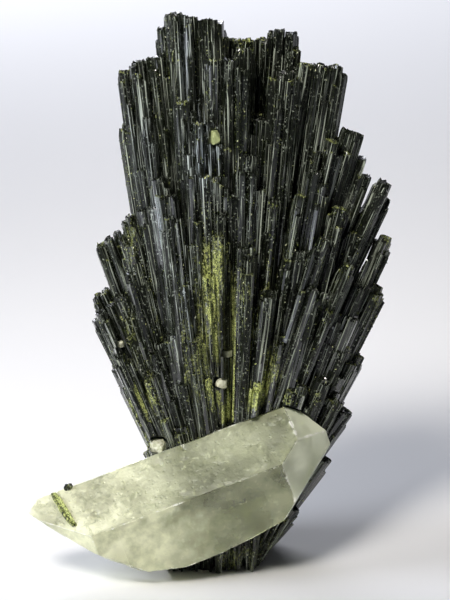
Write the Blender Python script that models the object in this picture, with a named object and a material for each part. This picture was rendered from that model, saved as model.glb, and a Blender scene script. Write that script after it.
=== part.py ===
"""Epidote crystal fan with a quartz crystal lying across the front of its foot.

The fan stands on its foot: +Z is up, -Y is the front, and the origin is the bottom centre of the whole
specimen. Everything below is worked out in millimetres in the fan's own frame, whose origin is the middle
of the foot, and is turned into metres when a mesh is made.
"""

import math
import random

import bmesh
import bpy
from mathutils import Matrix, Vector

MM = 0.001

# Driving dimensions, in millimetres and degrees
SPECIMEN_SHIFT = (2.68, 4.46, 0.0)  # from the middle of the foot to the specimen's bottom centre
ROOT_DEPTH = 8.0  # the crystals fan out from a line this far below the foot
FOOT_TRIM = 3.0  # each crystal runs this far past the floor before the foot is cut flat
JOINT_GAP = 0.3  # clearance between touching minerals
ROOT_TAPER = 0.55  # a crystal's width at the root, as a share of its width at the tip
SEED = 41
FAN_SOLVER = "MANIFOLD"  # the exact solver loses most of so many nearly parallel crystals

# How far the crystals reach from the root, by their angle from the vertical (negative is to the left)
REACH = [
    (-24.5, 44.0), (-23.0, 50.0), (-20.5, 56.0), (-15.0, 61.0), (-13.2, 66.0), (-11.8, 80.0),
    (-7.5, 84.0), (-5.0, 88.0), (0.0, 86.0), (6.5, 86.0), (11.5, 82.0), (13.0, 75.0),
    (16.5, 70.0), (20.5, 65.0), (24.0, 55.0), (27.0, 48.0),
]

EDGE_MARGIN = 1.08  # the filling crystals keep this far inside that outline

# Ranks of filling crystals from the front to the back: depth at the tip, shortest and longest reach as a
# share of the fan's, and how many stand side by side
RANKS = [
    (-8.4, 0.34, 0.62, 11),
    (-6.4, 0.50, 0.84, 13),
    (-4.2, 0.70, 0.93, 14),
    (-1.6, 0.84, 0.98, 14),
    (1.2, 0.86, 0.99, 14),
    (4.0, 0.82, 0.98, 13),
    (6.6, 0.62, 0.93, 12),
    (8.8, 0.40, 0.80, 11),
]

# The crystals that give the fan its outline and its ledges. Each group is: left and right edge of the tips,
# height of the tips at the left and at the right, depth of the front row, lean from the vertical, crystals
# side by side, and rows one behind the other.
GROUPS = {
    "crown_column": (-9.5, -2.5, 84.1, 82.9, -1.8, -3.0, 3, 2),
    "crown_shoulder": (-10.8, -9.3, 81.2, 81.6, -0.6, -4.5, 1, 1),
    "left_tower": (-14.7, -10.4, 76.6, 77.3, -1.2, -6.5, 2, 2),
    "left_tower_edge": (-16.6, -14.7, 74.9, 75.1, -0.8, -7.5, 1, 2),
    "crown_step": (-2.7, -0.5, 80.7, 80.4, 0.4, -1.0, 1, 2),
    "back_ridge": (-0.7, 6.3, 79.5, 79.3, 3.2, 2.0, 3, 1),
    "back_tower": (6.4, 10.0, 80.5, 80.3, 3.8, 4.5, 2, 1),
    "back_tower_step": (9.3, 10.4, 77.9, 77.7, 2.2, 5.5, 1, 1),
    "right_tower": (10.1, 16.8, 76.0, 75.6, 0.2, 8.5, 3, 2),
    "front_pillar": (-3.5, 1.0, 77.7, 77.8, -4.2, -0.5, 2, 1),
    "front_pillar_step": (0.8, 3.3, 78.9, 78.5, -2.6, 0.8, 1, 1),
    "right_ledge": (6.9, 10.4, 74.5, 74.3, -2.4, 5.0, 2, 1),
    "finger_top": (16.6, 19.7, 66.1, 65.7, 0.0, 15.0, 1, 1),
    "finger_front": (14.2, 16.2, 65.0, 64.8, -2.2, 12.5, 1, 1),
    "finger_bud": (18.8, 20.5, 61.9, 61.5, 1.6, 18.0, 1, 1),
    "finger_low": (19.7, 21.1, 59.6, 59.2, -0.4, 20.0, 1, 1),
    "finger_long": (22.0, 24.2, 58.8, 57.8, -0.4, 24.0, 1, 1),
    "finger_long_back": (22.6, 24.0, 55.7, 55.3, 1.2, 24.0, 1, 1),
    "finger_amber": (22.5, 24.3, 50.1, 49.5, 0.2, 22.0, 1, 1),
    "right_edge": (20.5, 23.2, 43.0, 40.6, -0.4, 25.0, 2, 2),
    "right_spur": (16.4, 18.8, 23.8, 21.4, 0.6, 33.0, 1, 2),
    "right_heel": (12.6, 15.2, 16.8, 14.8, -1.4, 33.0, 1, 2),
    "left_blade": (-20.1, -15.1, 47.7, 52.9, -1.2, -19.0, 4, 2),
    "left_knob": (-15.7, -14.4, 53.2, 53.8, -2.4, -14.0, 1, 1),
    "left_step": (-20.7, -18.2, 40.2, 41.8, 0.4, -23.0, 2, 2),
    "left_corner": (-20.9, -19.5, 36.4, 37.2, 1.0, -25.0, 1, 1),
    "left_front_step": (-20.2, -15.6, 38.9, 41.9, -4.4, -22.0, 3, 1),
    "left_front_shard": (-17.6, -15.9, 33.2, 33.8, -6.6, -22.5, 1, 1),
    "left_low_upper": (-17.9, -16.2, 29.2, 30.0, 0.6, -25.0, 1, 2),
    "left_low_middle": (-14.2, -12.5, 22.8, 23.8, -1.6, -25.5, 1, 2),
    "left_low_lower": (-11.6, -10.0, 17.2, 18.0, -3.4, -25.5, 1, 2),
    "front_tall_a": (-8.0, -6.1, 71.3, 71.1, -4.6, -3.5, 1, 1),
    "front_tall_b": (-5.5, -2.1, 68.4, 68.2, -5.2, -2.0, 2, 1),
    "front_left_green": (-13.2, -11.4, 68.6, 68.4, -3.4, -6.0, 1, 1),
    "front_mid_bright": (-6.8, -2.9, 60.7, 60.7, -6.4, -2.5, 2, 1),
    "front_mid_dark": (-11.0, -7.9, 57.4, 58.0, -6.2, -6.0, 2, 1),
    "front_fluted": (-9.7, -6.9, 54.5, 54.3, -7.8, -6.0, 2, 1),
    "front_centre_low": (-2.7, -0.9, 51.9, 51.7, -7.4, -1.0, 1, 1),
    "front_right_a": (2.2, 4.1, 61.7, 61.5, -5.4, 3.0, 1, 1),
    "front_right_b": (9.6, 11.6, 57.3, 57.1, -5.2, 9.5, 1, 1),
    "front_right_c": (11.8, 13.6, 60.8, 60.6, -4.2, 10.5, 1, 1),
    "front_right_d": (13.0, 15.0, 51.2, 50.8, -6.8, 17.0, 1, 1),
    "front_right_e": (16.8, 18.7, 46.9, 46.5, -5.6, 21.0, 1, 1),
    "front_right_f": (11.2, 13.2, 44.2, 43.8, -8.2, 17.0, 1, 1),
    "front_low_stub": (-6.5, -4.4, 36.2, 36.0, -9.2, -8.0, 1, 1),
    "foot_right": (8.0, 10.6, 9.4, 8.0, -3.4, 33.0, 1, 2),
    "foot_left": (-9.8, -4.6, 7.0, 8.4, -11.6, 0.0, 3, 2),
    "foot_front": (-4.4, 4.6, 10.0, 10.6, -11.8, 2.0, 4, 1),
}
GROUP_ROW_PITCH = 2.6  # from one row of a group to the next, in depth

# The grown-together inside of the fan: height, half width and half depth of each ring round it, and the
# ring's middle in x and y
CORE_SIDES = 12
CORE = [
    (-3.0, 7.6, 8.2, -1.8, -0.6),
    (8.0, 8.4, 6.4, 0.0, 0.0),
    (24.0, 12.2, 6.4, 1.2, 0.4),
    (38.0, 14.6, 6.0, 0.8, 0.8),
    (52.0, 13.4, 5.0, 0.6, 1.6),
    (64.0, 10.4, 3.6, 0.0, 2.0),
]

# Quartz: a hexagonal prism whose faces grew unequally. Its axis runs from the left tip to the right one, and
# its faces are counted from the upper front one, downwards and round the back.
QUARTZ_CENTRE = (-6.5, -11.6, 11.1)
QUARTZ_RISE = 19.4  # the axis climbs to the right
QUARTZ_YAW = 7.0  # and goes back to the right
QUARTZ_ROLL = 50.7  # how far the upper front face looks above the front
QUARTZ_PRISM = [6.0, 5.7, 8.6, 6.0, 5.7, 8.6]  # distance of each prism face from the axis
QUARTZ_POINT_ANGLE = 38.2  # a point's faces stand this far off the axis, as in all quartz
QUARTZ_RIGHT = [26.4, 22.5, 22.1, 23.3, 24.4, 29.8]  # where each right point face meets the axis
QUARTZ_LEFT = [29.6, 22.0, 18.1, 24.0, 27.5, 31.3]  # where each left point face meets the axis
# Oblique faces below: how far each looks above the front, how far it looks to the right, and its distance
QUARTZ_OBLIQUE = [(-81.5, -50.3, 12.5), (-74.3, -13.7, 9.0), (-74.3, 7.0, 8.7)]

# The epidote blade that lies in a groove across the quartz near its left tip, and the chip beside it. Each is
# where it crosses the top edge and the lower edge of the quartz's upper front face, along the quartz's axis
# and up that face, then its width and its height.
BLADES = {
    "epidote_blade": ((-18.1, 6.9), (-16.5, -0.8), 0.9, 1.3),
    "epidote_chip": ((-16.2, 6.2), (-14.8, 6.4), 0.7, 1.1),
}

# Pale grains on the fan's front: centre, size across, height as a share of the size, and turn
GRAINS = {
    "feldspar_grain_foot": ((-10.7, -6.5, 18.9), 1.6, 1.1, 20.0),
    "feldspar_grain_centre": ((-1.4, -7.9, 28.9), 1.2, 1.0, 35.0),
    "feldspar_grain_centre_small": ((-0.5, -6.7, 33.2), 0.9, 1.0, 60.0),
    "feldspar_grain_left": ((-16.3, -5.1, 34.2), 0.8, 1.0, 15.0),
    "feldspar_grain_upper": ((-2.2, -5.6, 65.8), 1.0, 1.9, 50.0),
}


def interpolate(table, at):
    """Reads a table of (position, value) rows, straight between its rows."""
    if at <= table[0][0]:
        return table[0][1]
    for (left, low), (right, high) in zip(table, table[1:]):
        if at <= right:
            return low + (high - low) * (at - left) / (right - left)
    return table[-1][1]


def lean_at(x, z):
    """The lean of a crystal with its tip at x and z: outer and lower ones follow the fan, tall ones stand."""
    angle = math.degrees(math.atan2(x, z + ROOT_DEPTH))
    reach = math.hypot(x, z + ROOT_DEPTH)
    tallness = min(1.0, max(0.0, (reach - 50.0) / 30.0))
    return angle * (1.0 - 0.35 * tallness)


def foot_depth(tip_depth):
    """The depth at the foot of a crystal whose tip is at this depth."""
    return tip_depth * (0.7 if tip_depth < 0 else 0.9)


def crystal(tip, lean, width, thickness, turn, slant):
    """One crystal as plain values: its tip, its lean, and its width and thickness at the tip."""
    return {"tip": tip, "lean": lean, "width": width, "thickness": thickness, "turn": turn, "slant": slant}


def group_crystals(rng):
    """The crystals of the groups that make the outline and the ledges."""
    found = []
    for left, right, z_left, z_right, front, lean, columns, rows in GROUPS.values():
        pitch = (right - left) / columns
        for row in range(rows):
            for column in range(columns):
                share = (column + 0.5) / columns
                drop = rng.uniform(0.0, 0.5) + 1.4 * row * rng.random()
                tip = (
                    left + pitch * (column + 0.5),
                    front + GROUP_ROW_PITCH * row + rng.uniform(-0.4, 0.4),
                    z_left + (z_right - z_left) * share - drop,
                )
                width = pitch * rng.uniform(1.0, 1.12)
                thickness = rng.uniform(1.9, 2.9)
                slant = (rng.uniform(-0.18, 0.18), rng.uniform(-0.25, 0.1))
                found.append(crystal(tip, lean, width, thickness, rng.uniform(-14, 14), slant))
    return found


def rank_crystals(rng):
    """The crystals that fill the fan between the groups."""
    found = []
    first, last = REACH[0][0], REACH[-1][0]
    for depth, shortest, longest, count in RANKS:
        for place in range(count):
            angle = first + (last - first) * (place + 0.5 + rng.uniform(-0.3, 0.3)) / count
            reach = interpolate(REACH, angle * EDGE_MARGIN) * rng.uniform(shortest, longest)
            x = reach * math.sin(math.radians(angle))
            z = reach * math.cos(math.radians(angle)) - ROOT_DEPTH
            width = rng.uniform(2.2, 3.4) * (0.6 + 0.4 * reach / 80.0)
            thickness = rng.uniform(1.8, 2.6)
            tip = (x, depth + rng.uniform(-0.7, 0.7), z)
            slant = (rng.uniform(-0.3, 0.3), rng.uniform(-0.3, 0.15))
            found.append(crystal(tip, lean_at(x, z), width, thickness, rng.uniform(-30, 30), slant))
    return found


def link(mesh_data, name, collection):
    """An object for this mesh, in this collection."""
    made = bpy.data.objects.new(name, mesh_data)
    collection.objects.link(made)
    return made


def mesh_from(bm, name):
    """The mesh of this bmesh, with its faces pointing out."""
    bmesh.ops.recalc_face_normals(bm, faces=bm.faces)
    data = bpy.data.meshes.new(name)
    bm.to_mesh(data)
    bm.free()
    return data


def crystal_object(values, name, collection):
    """A six-sided prism that narrows to its root and ends in a slanted face."""
    tip_x, tip_y, tip_z = values["tip"]
    lean = math.tan(math.radians(values["lean"]))
    pitch = (tip_y - foot_depth(tip_y)) / max(tip_z, 1.0)
    direction = Vector((lean, pitch, 1.0))
    length = (tip_z + FOOT_TRIM) * direction.length
    bm = bmesh.new()
    bmesh.ops.create_cone(
        bm, cap_ends=True, segments=6, radius1=0.5 * ROOT_TAPER, radius2=0.5, depth=length
    )
    slant_x, slant_y = values["slant"]
    for vert in bm.verts:
        at_tip = vert.co.z > 0
        vert.co.x *= values["width"]
        vert.co.y *= values["thickness"] / math.cos(math.radians(30))
        vert.co.z += -length / 2 + (slant_x * vert.co.x + slant_y * vert.co.y if at_tip else 0)
    turn = Matrix.Rotation(math.radians(values["turn"]), 4, "Z")
    aim = direction.to_track_quat("Z", "Y").to_matrix().to_4x4()
    bmesh.ops.transform(bm, matrix=aim @ turn, verts=bm.verts)
    bmesh.ops.translate(bm, vec=Vector(values["tip"]), verts=bm.verts)
    bmesh.ops.scale(bm, vec=(MM, MM, MM), verts=bm.verts)
    made = link(mesh_from(bm, name), name, collection)
    made.hide_render = True
    made.display_type = "WIRE"
    return made


def core_object(name, collection):
    """The inside of the fan, as rings joined one to the next."""
    bm = bmesh.new()
    rings = []
    for height, half_width, half_depth, x, y in CORE:
        corners = []
        for corner in range(CORE_SIDES):
            angle = 2 * math.pi * corner / CORE_SIDES
            place = (x + half_width * math.cos(angle), y + half_depth * math.sin(angle), height)
            corners.append(bm.verts.new(Vector(place) * MM))
        rings.append(corners)
    for below, above in zip(rings, rings[1:]):
        for corner in range(CORE_SIDES):
            after = (corner + 1) % CORE_SIDES
            bm.faces.new((below[corner], below[after], above[after], above[corner]))
    bm.faces.new(rings[0])
    bm.faces.new(rings[-1])
    return link(mesh_from(bm, name), name, collection)


def cut_block(planes, reach, name):
    """A block cut down to what lies behind every plane, each given as its normal and its distance."""
    bm = bmesh.new()
    bmesh.ops.create_cube(bm, size=2 * reach)
    for normal, distance in planes:
        cut = bmesh.ops.bisect_plane(
            bm, geom=bm.verts[:] + bm.edges[:] + bm.faces[:], dist=1e-5,
            plane_co=normal * distance, plane_no=normal, clear_outer=True,
        )
        rim = [part for part in cut["geom_cut"] if isinstance(part, bmesh.types.BMEdge)]
        if rim:
            bmesh.ops.contextual_create(bm, geom=rim)
    return mesh_from(bm, name)


def quartz_planes(grow):
    """The quartz crystal's faces in its own frame, X along its axis, each moved out by this much."""
    planes = []
    lift = math.radians(90.0 - QUARTZ_POINT_ANGLE)
    for side in range(6):
        around = math.radians(-90.0 + QUARTZ_ROLL - 60.0 * side)
        outwards = Vector((0.0, math.sin(around), math.cos(around)))
        planes.append((outwards, QUARTZ_PRISM[side] + grow))
        for end, meets in ((1.0, QUARTZ_RIGHT[side]), (-1.0, QUARTZ_LEFT[side])):
            normal = Vector((end * math.cos(lift), 0, 0)) + outwards * math.sin(lift)
            planes.append((normal, meets * math.cos(lift) + grow))
    for above, sideways, distance in QUARTZ_OBLIQUE:
        around, turned = math.radians(above - 90.0), math.radians(sideways)
        outwards = Vector((0.0, math.sin(around), math.cos(around)))
        normal = Vector((math.sin(turned), 0, 0)) + outwards * math.cos(turned)
        planes.append((normal, distance + grow))
    return planes


def quartz_place():
    """Where the quartz crystal's own frame stands."""
    rise = Matrix.Rotation(math.radians(-QUARTZ_RISE), 4, "Y")
    yaw = Matrix.Rotation(math.radians(QUARTZ_YAW), 4, "Z")
    return Matrix.Translation(Vector(QUARTZ_CENTRE) * MM) @ yaw @ rise


def quartz_mesh(grow, name):
    """The quartz crystal in place, grown by this much."""
    planes = [(normal, distance * MM) for normal, distance in quartz_planes(grow)]
    data = cut_block(planes, 60 * MM, name)
    data.transform(quartz_place())
    return data


def blade_mesh(values, grow, name):
    """A thin blade half sunk in the quartz's upper front face, grown by this much."""
    (start, up_start), (end, up_end), width, height = values
    run = Vector((end - start, 0, up_end - up_start))
    bm = bmesh.new()
    bmesh.ops.create_cube(bm, size=1.0)
    bmesh.ops.scale(bm, vec=(run.length + 2 * grow, height + 2 * grow, width + 2 * grow), verts=bm.verts)
    place = Matrix.Translation(((start + end) / 2, -QUARTZ_PRISM[0], (up_start + up_end) / 2))
    turn = Matrix.Rotation(math.atan2(run.x, run.z) - math.pi / 2, 4, "Y")
    roll = Matrix.Rotation(math.radians(QUARTZ_ROLL), 4, "X")
    bmesh.ops.transform(bm, matrix=Matrix.Scale(MM, 4) @ roll.inverted() @ place @ turn, verts=bm.verts)
    bmesh.ops.transform(bm, matrix=quartz_place(), verts=bm.verts)
    return mesh_from(bm, name)


def grain_mesh(values, grow, name):
    """A small cleavage block, grown by this much."""
    centre, size, tallness, turned = values
    bm = bmesh.new()
    bmesh.ops.create_cube(bm, size=1.0)
    bmesh.ops.scale(bm, vec=(size + 2 * grow, size + 2 * grow, size * tallness + 2 * grow), verts=bm.verts)
    turn = Matrix.Rotation(math.radians(turned), 4, "Z") @ Matrix.Rotation(math.radians(turned / 3), 4, "Y")
    bmesh.ops.transform(bm, matrix=Matrix.Translation(centre) @ turn, verts=bm.verts)
    bmesh.ops.scale(bm, vec=(MM, MM, MM), verts=bm.verts)
    return mesh_from(bm, name)


def boolean(target, operation, other, solver="EXACT"):
    """Joins or cuts the target with an object or with a whole collection."""
    modifier = target.modifiers.new(operation.title(), "BOOLEAN")
    modifier.operation = operation
    modifier.solver = solver
    if isinstance(other, bpy.types.Collection):
        modifier.operand_type = "COLLECTION"
        modifier.collection = other
    else:
        modifier.object = other


def settle(target):
    """Turns the object's modifiers into plain mesh and keeps its largest body, without the chips."""
    bpy.context.view_layer.update()
    graph = bpy.context.evaluated_depsgraph_get()
    settled = bpy.data.meshes.new_from_object(target.evaluated_get(graph))
    target.modifiers.clear()
    bm = bmesh.new()
    bm.from_mesh(settled)
    todo, bodies = set(bm.faces), []
    while todo:
        body, front = set(), [next(iter(todo))]
        while front:
            face = front.pop()
            if face in body:
                continue
            body.add(face)
            front += [other for edge in face.edges for other in edge.link_faces]
        todo -= body
        bodies.append(body)
    bodies.sort(key=len)
    chips = [face for body in bodies[:-1] for face in body]
    bmesh.ops.delete(bm, geom=chips, context="FACES")
    bm.to_mesh(settled)
    bm.free()
    target.data = settled


def material(name, colour, roughness, transmission=0.0):
    """A plain finish."""
    made = bpy.data.materials.new(name)
    made.use_nodes = True
    shader = made.node_tree.nodes["Principled BSDF"]
    shader.inputs["Base Color"].default_value = (*colour, 1.0)
    shader.inputs["Roughness"].default_value = roughness
    shader.inputs["Transmission Weight"].default_value = transmission
    return made


def build_fan(collection, helpers):
    """All the epidote crystals, joined into one solid that stands on a flat foot."""
    crystals = group_crystals(random.Random(SEED)) + rank_crystals(random.Random(SEED + 1))
    for n, values in enumerate(crystals):
        crystal_object(values, f"crystal_{n}", helpers)
    fan = core_object("epidote_fan", collection)
    boolean(fan, "UNION", helpers, FAN_SOLVER)
    return fan


def main():
    for old in list(bpy.data.objects):
        bpy.data.objects.remove(old)
    scene = bpy.context.scene
    part = bpy.data.collections.new("epidote_specimen")
    helpers = bpy.data.collections.new("crystal_prisms")
    cutters = bpy.data.collections.new("cutters")
    for collection in (part, helpers, cutters):
        scene.collection.children.link(collection)

    floor_mesh = bmesh.new()
    bmesh.ops.create_cube(floor_mesh, size=0.2)
    bmesh.ops.translate(floor_mesh, vec=(0, 0, -0.1), verts=floor_mesh.verts)
    fan_cutters = [
        link(mesh_from(floor_mesh, "floor_cutter"), "floor_cutter", cutters),
        link(quartz_mesh(JOINT_GAP, "quartz_pocket"), "quartz_pocket", cutters),
    ]
    grains, blades, grooves = [], [], []
    for name, values in GRAINS.items():
        grains.append(link(grain_mesh(values, 0.0, name), name, part))
        fan_cutters.append(link(grain_mesh(values, JOINT_GAP, f"{name}_pocket"), f"{name}_pocket", cutters))
    for name, values in BLADES.items():
        blades.append(link(blade_mesh(values, 0.0, name), name, part))
        grooves.append(link(blade_mesh(values, JOINT_GAP, f"{name}_groove"), f"{name}_groove", cutters))

    fan = build_fan(part, helpers)
    quartz = link(quartz_mesh(0.0, "quartz_crystal"), "quartz_crystal", part)
    for piece, tools, solver in ((fan, fan_cutters, FAN_SOLVER), (quartz, grooves, "EXACT")):
        for tool in tools:
            tool.hide_render = True
            tool.display_type = "WIRE"
            boolean(piece, "DIFFERENCE", tool, solver)
        settle(piece)

    coats = [
        ([fan], material("epidote", (0.03, 0.035, 0.015), 0.3)),
        (blades, material("blade_epidote", (0.09, 0.1, 0.02), 0.35)),
        ([quartz], material("quartz", (0.85, 0.88, 0.72), 0.25, 0.8)),
        (grains, material("feldspar", (0.8, 0.78, 0.68), 0.5)),
    ]
    specimen = bpy.data.objects.new("specimen", None)
    part.objects.link(specimen)
    specimen.location = Vector(SPECIMEN_SHIFT) * MM
    for pieces, coat in coats:
        for piece in pieces:
            piece.data.materials.clear()
            piece.data.materials.append(coat)
            piece.parent = specimen


main()
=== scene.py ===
# An epidote crystal fan with a quartz crystal across its foot: its looks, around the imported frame.
import math
import random

import bmesh
import bpy
import numpy as np
from mathutils import Matrix, Vector


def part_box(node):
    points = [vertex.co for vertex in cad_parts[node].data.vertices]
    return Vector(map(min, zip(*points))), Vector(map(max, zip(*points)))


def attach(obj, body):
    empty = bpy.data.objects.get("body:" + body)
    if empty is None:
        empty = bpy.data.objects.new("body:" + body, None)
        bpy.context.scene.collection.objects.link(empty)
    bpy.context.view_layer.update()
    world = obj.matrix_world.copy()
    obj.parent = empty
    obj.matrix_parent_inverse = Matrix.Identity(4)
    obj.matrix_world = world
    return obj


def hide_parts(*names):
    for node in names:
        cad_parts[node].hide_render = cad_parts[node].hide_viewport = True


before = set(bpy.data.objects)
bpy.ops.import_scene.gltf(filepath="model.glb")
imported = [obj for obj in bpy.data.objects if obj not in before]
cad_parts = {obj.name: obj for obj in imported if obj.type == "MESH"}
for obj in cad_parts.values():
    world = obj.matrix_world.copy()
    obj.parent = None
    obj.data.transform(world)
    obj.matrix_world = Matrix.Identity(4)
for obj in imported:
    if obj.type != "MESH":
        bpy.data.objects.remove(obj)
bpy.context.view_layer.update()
mm = 0.001

# Where the fan's crystals stand. Lengths are in millimetres from the middle of the foot, angles in degrees.
fan = {
    "footPlace": (2.68, 4.46, 0.0),  # the middle of the foot, from the specimen's bottom centre
    "rootDepth": 8.0,  # the crystals fan out from a line this far below the foot
    "rootTaper": 0.55,  # width at the foot, as a share of the width at the tip
    "rowPitch": 2.6,  # from one row of a group to the next, in depth
    "drop": 0.5, "rowDrop": 1.4,  # how far a tip lies below its group's line, and further in each row behind
    "overlap": (1.0, 1.12),  # width in a group, as a share of the room that each crystal has
    "thickness": (1.9, 2.9),
    "edgeMargin": 1.08,  # the ranks end before the outline does, by this factor on their angle
    "rankWidth": (2.2, 3.4), "rankThickness": (1.8, 2.6),
    "uprightFrom": 50.0, "uprightOver": 30.0, "upright": 0.35,  # tips this far from the root lean less
    "seed": 41,
}

# The fan's reach from its root, by the angle from the vertical (negative is to the left)
fanReach = [
    (-24.5, 44.0), (-23.0, 50.0), (-20.5, 56.0), (-15.0, 61.0), (-13.2, 66.0), (-11.8, 80.0),
    (-7.5, 84.0), (-5.0, 88.0), (0.0, 86.0), (6.5, 86.0), (11.5, 82.0), (13.0, 75.0),
    (16.5, 70.0), (20.5, 65.0), (24.0, 55.0), (27.0, 48.0),
]

# Ranks of crystals that fill the fan: depth at the tip, shortest and longest reach as shares of the fan's,
# and how many stand side by side
fanRanks = [
    (-8.4, 0.34, 0.62, 11), (-6.4, 0.50, 0.84, 13), (-4.2, 0.70, 0.93, 14), (-1.6, 0.84, 0.98, 14),
    (1.2, 0.86, 0.99, 14), (4.0, 0.82, 0.98, 13), (6.6, 0.62, 0.93, 12), (8.8, 0.40, 0.80, 11),
]

# Ranks between these that close the gaps at the front
gapRanks = [(-5.2, 0.55, 0.90, 12), (-7.4, 0.40, 0.74, 11)]

# The crystals that give the outline and the ledges: left and right edge of the tips, height of the tips at
# the left and at the right, depth of the front row, lean, crystals side by side, rows one behind the other
fanGroups = {
    "crownColumn": (-9.5, -2.5, 84.1, 82.9, -1.8, -3.0, 3, 2),
    "crownShoulder": (-10.8, -9.3, 81.2, 81.6, -0.6, -4.5, 1, 1),
    "leftTower": (-14.7, -10.4, 76.6, 77.3, -1.2, -6.5, 2, 2),
    "leftTowerEdge": (-16.6, -14.7, 74.9, 75.1, -0.8, -7.5, 1, 2),
    "crownStep": (-2.7, -0.5, 80.7, 80.4, 0.4, -1.0, 1, 2),
    "backRidge": (-0.7, 6.3, 79.5, 79.3, 3.2, 2.0, 3, 1),
    "backTower": (6.4, 10.0, 80.5, 80.3, 3.8, 4.5, 2, 1),
    "backTowerStep": (9.3, 10.4, 77.9, 77.7, 2.2, 5.5, 1, 1),
    "rightTower": (10.1, 16.8, 76.0, 75.6, 0.2, 8.5, 3, 2),
    "frontPillar": (-3.5, 1.0, 77.7, 77.8, -4.2, -0.5, 2, 1),
    "frontPillarStep": (0.8, 3.3, 78.9, 78.5, -2.6, 0.8, 1, 1),
    "rightLedge": (6.9, 10.4, 74.5, 74.3, -2.4, 5.0, 2, 1),
    "fingerTop": (16.6, 19.7, 66.1, 65.7, 0.0, 15.0, 1, 1),
    "fingerFront": (14.2, 16.2, 65.0, 64.8, -2.2, 12.5, 1, 1),
    "fingerBud": (18.8, 20.5, 61.9, 61.5, 1.6, 18.0, 1, 1),
    "fingerLow": (19.7, 21.1, 59.6, 59.2, -0.4, 20.0, 1, 1),
    "fingerLong": (22.0, 24.2, 58.8, 57.8, -0.4, 24.0, 1, 1),
    "fingerLongBack": (22.6, 24.0, 55.7, 55.3, 1.2, 24.0, 1, 1),
    "fingerAmber": (22.5, 24.3, 50.1, 49.5, 0.2, 22.0, 1, 1),
    "rightEdge": (20.5, 23.2, 43.0, 40.6, -0.4, 25.0, 2, 2),
    "rightSpur": (16.4, 18.8, 23.8, 21.4, 0.6, 33.0, 1, 2),
    "rightHeel": (12.6, 15.2, 16.8, 14.8, -1.4, 33.0, 1, 2),
    "leftBlade": (-20.1, -15.1, 47.7, 52.9, -1.2, -19.0, 4, 2),
    "leftKnob": (-15.7, -14.4, 53.2, 53.8, -2.4, -14.0, 1, 1),
    "leftStep": (-20.7, -18.2, 40.2, 41.8, 0.4, -23.0, 2, 2),
    "leftCorner": (-20.9, -19.5, 36.4, 37.2, 1.0, -25.0, 1, 1),
    "leftFrontStep": (-20.2, -15.6, 38.9, 41.9, -4.4, -22.0, 3, 1),
    "leftFrontShard": (-17.6, -15.9, 33.2, 33.8, -6.6, -22.5, 1, 1),
    "leftLowUpper": (-17.9, -16.2, 29.2, 30.0, 0.6, -25.0, 1, 2),
    "leftLowMiddle": (-14.2, -12.5, 22.8, 23.8, -1.6, -25.5, 1, 2),
    "leftLowLower": (-11.6, -10.0, 17.2, 18.0, -3.4, -25.5, 1, 2),
    "frontTallA": (-8.0, -6.1, 71.3, 71.1, -4.6, -3.5, 1, 1),
    "frontTallB": (-5.5, -2.1, 68.4, 68.2, -5.2, -2.0, 2, 1),
    "frontLeftGreen": (-13.2, -11.4, 68.6, 68.4, -3.4, -6.0, 1, 1),
    "frontMidBright": (-6.8, -2.9, 60.7, 60.7, -6.4, -2.5, 2, 1),
    "frontMidDark": (-11.0, -7.9, 57.4, 58.0, -6.2, -6.0, 2, 1),
    "frontFluted": (-9.7, -6.9, 54.5, 54.3, -7.8, -6.0, 2, 1),
    "frontCentreLow": (-2.7, -0.9, 51.9, 51.7, -7.4, -1.0, 1, 1),
    "frontRightA": (2.2, 4.1, 61.7, 61.5, -5.4, 3.0, 1, 1),
    "frontRightB": (9.6, 11.6, 57.3, 57.1, -5.2, 9.5, 1, 1),
    "frontRightC": (11.8, 13.6, 60.8, 60.6, -4.2, 10.5, 1, 1),
    "frontRightD": (13.0, 15.0, 51.2, 50.8, -6.8, 17.0, 1, 1),
    "frontRightE": (16.8, 18.7, 46.9, 46.5, -5.6, 21.0, 1, 1),
    "frontRightF": (11.2, 13.2, 44.2, 43.8, -8.2, 17.0, 1, 1),
    "frontLowStub": (-6.5, -4.4, 36.2, 36.0, -9.2, -8.0, 1, 1),
    "footRight": (8.0, 10.6, 9.4, 8.0, -3.4, 33.0, 1, 2),
    "footLeft": (-9.8, -4.6, 7.0, 8.4, -11.6, 0.0, 3, 2),
    "footFront": (-4.4, 4.6, 10.0, 10.6, -11.8, 2.0, 4, 1),
}

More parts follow.
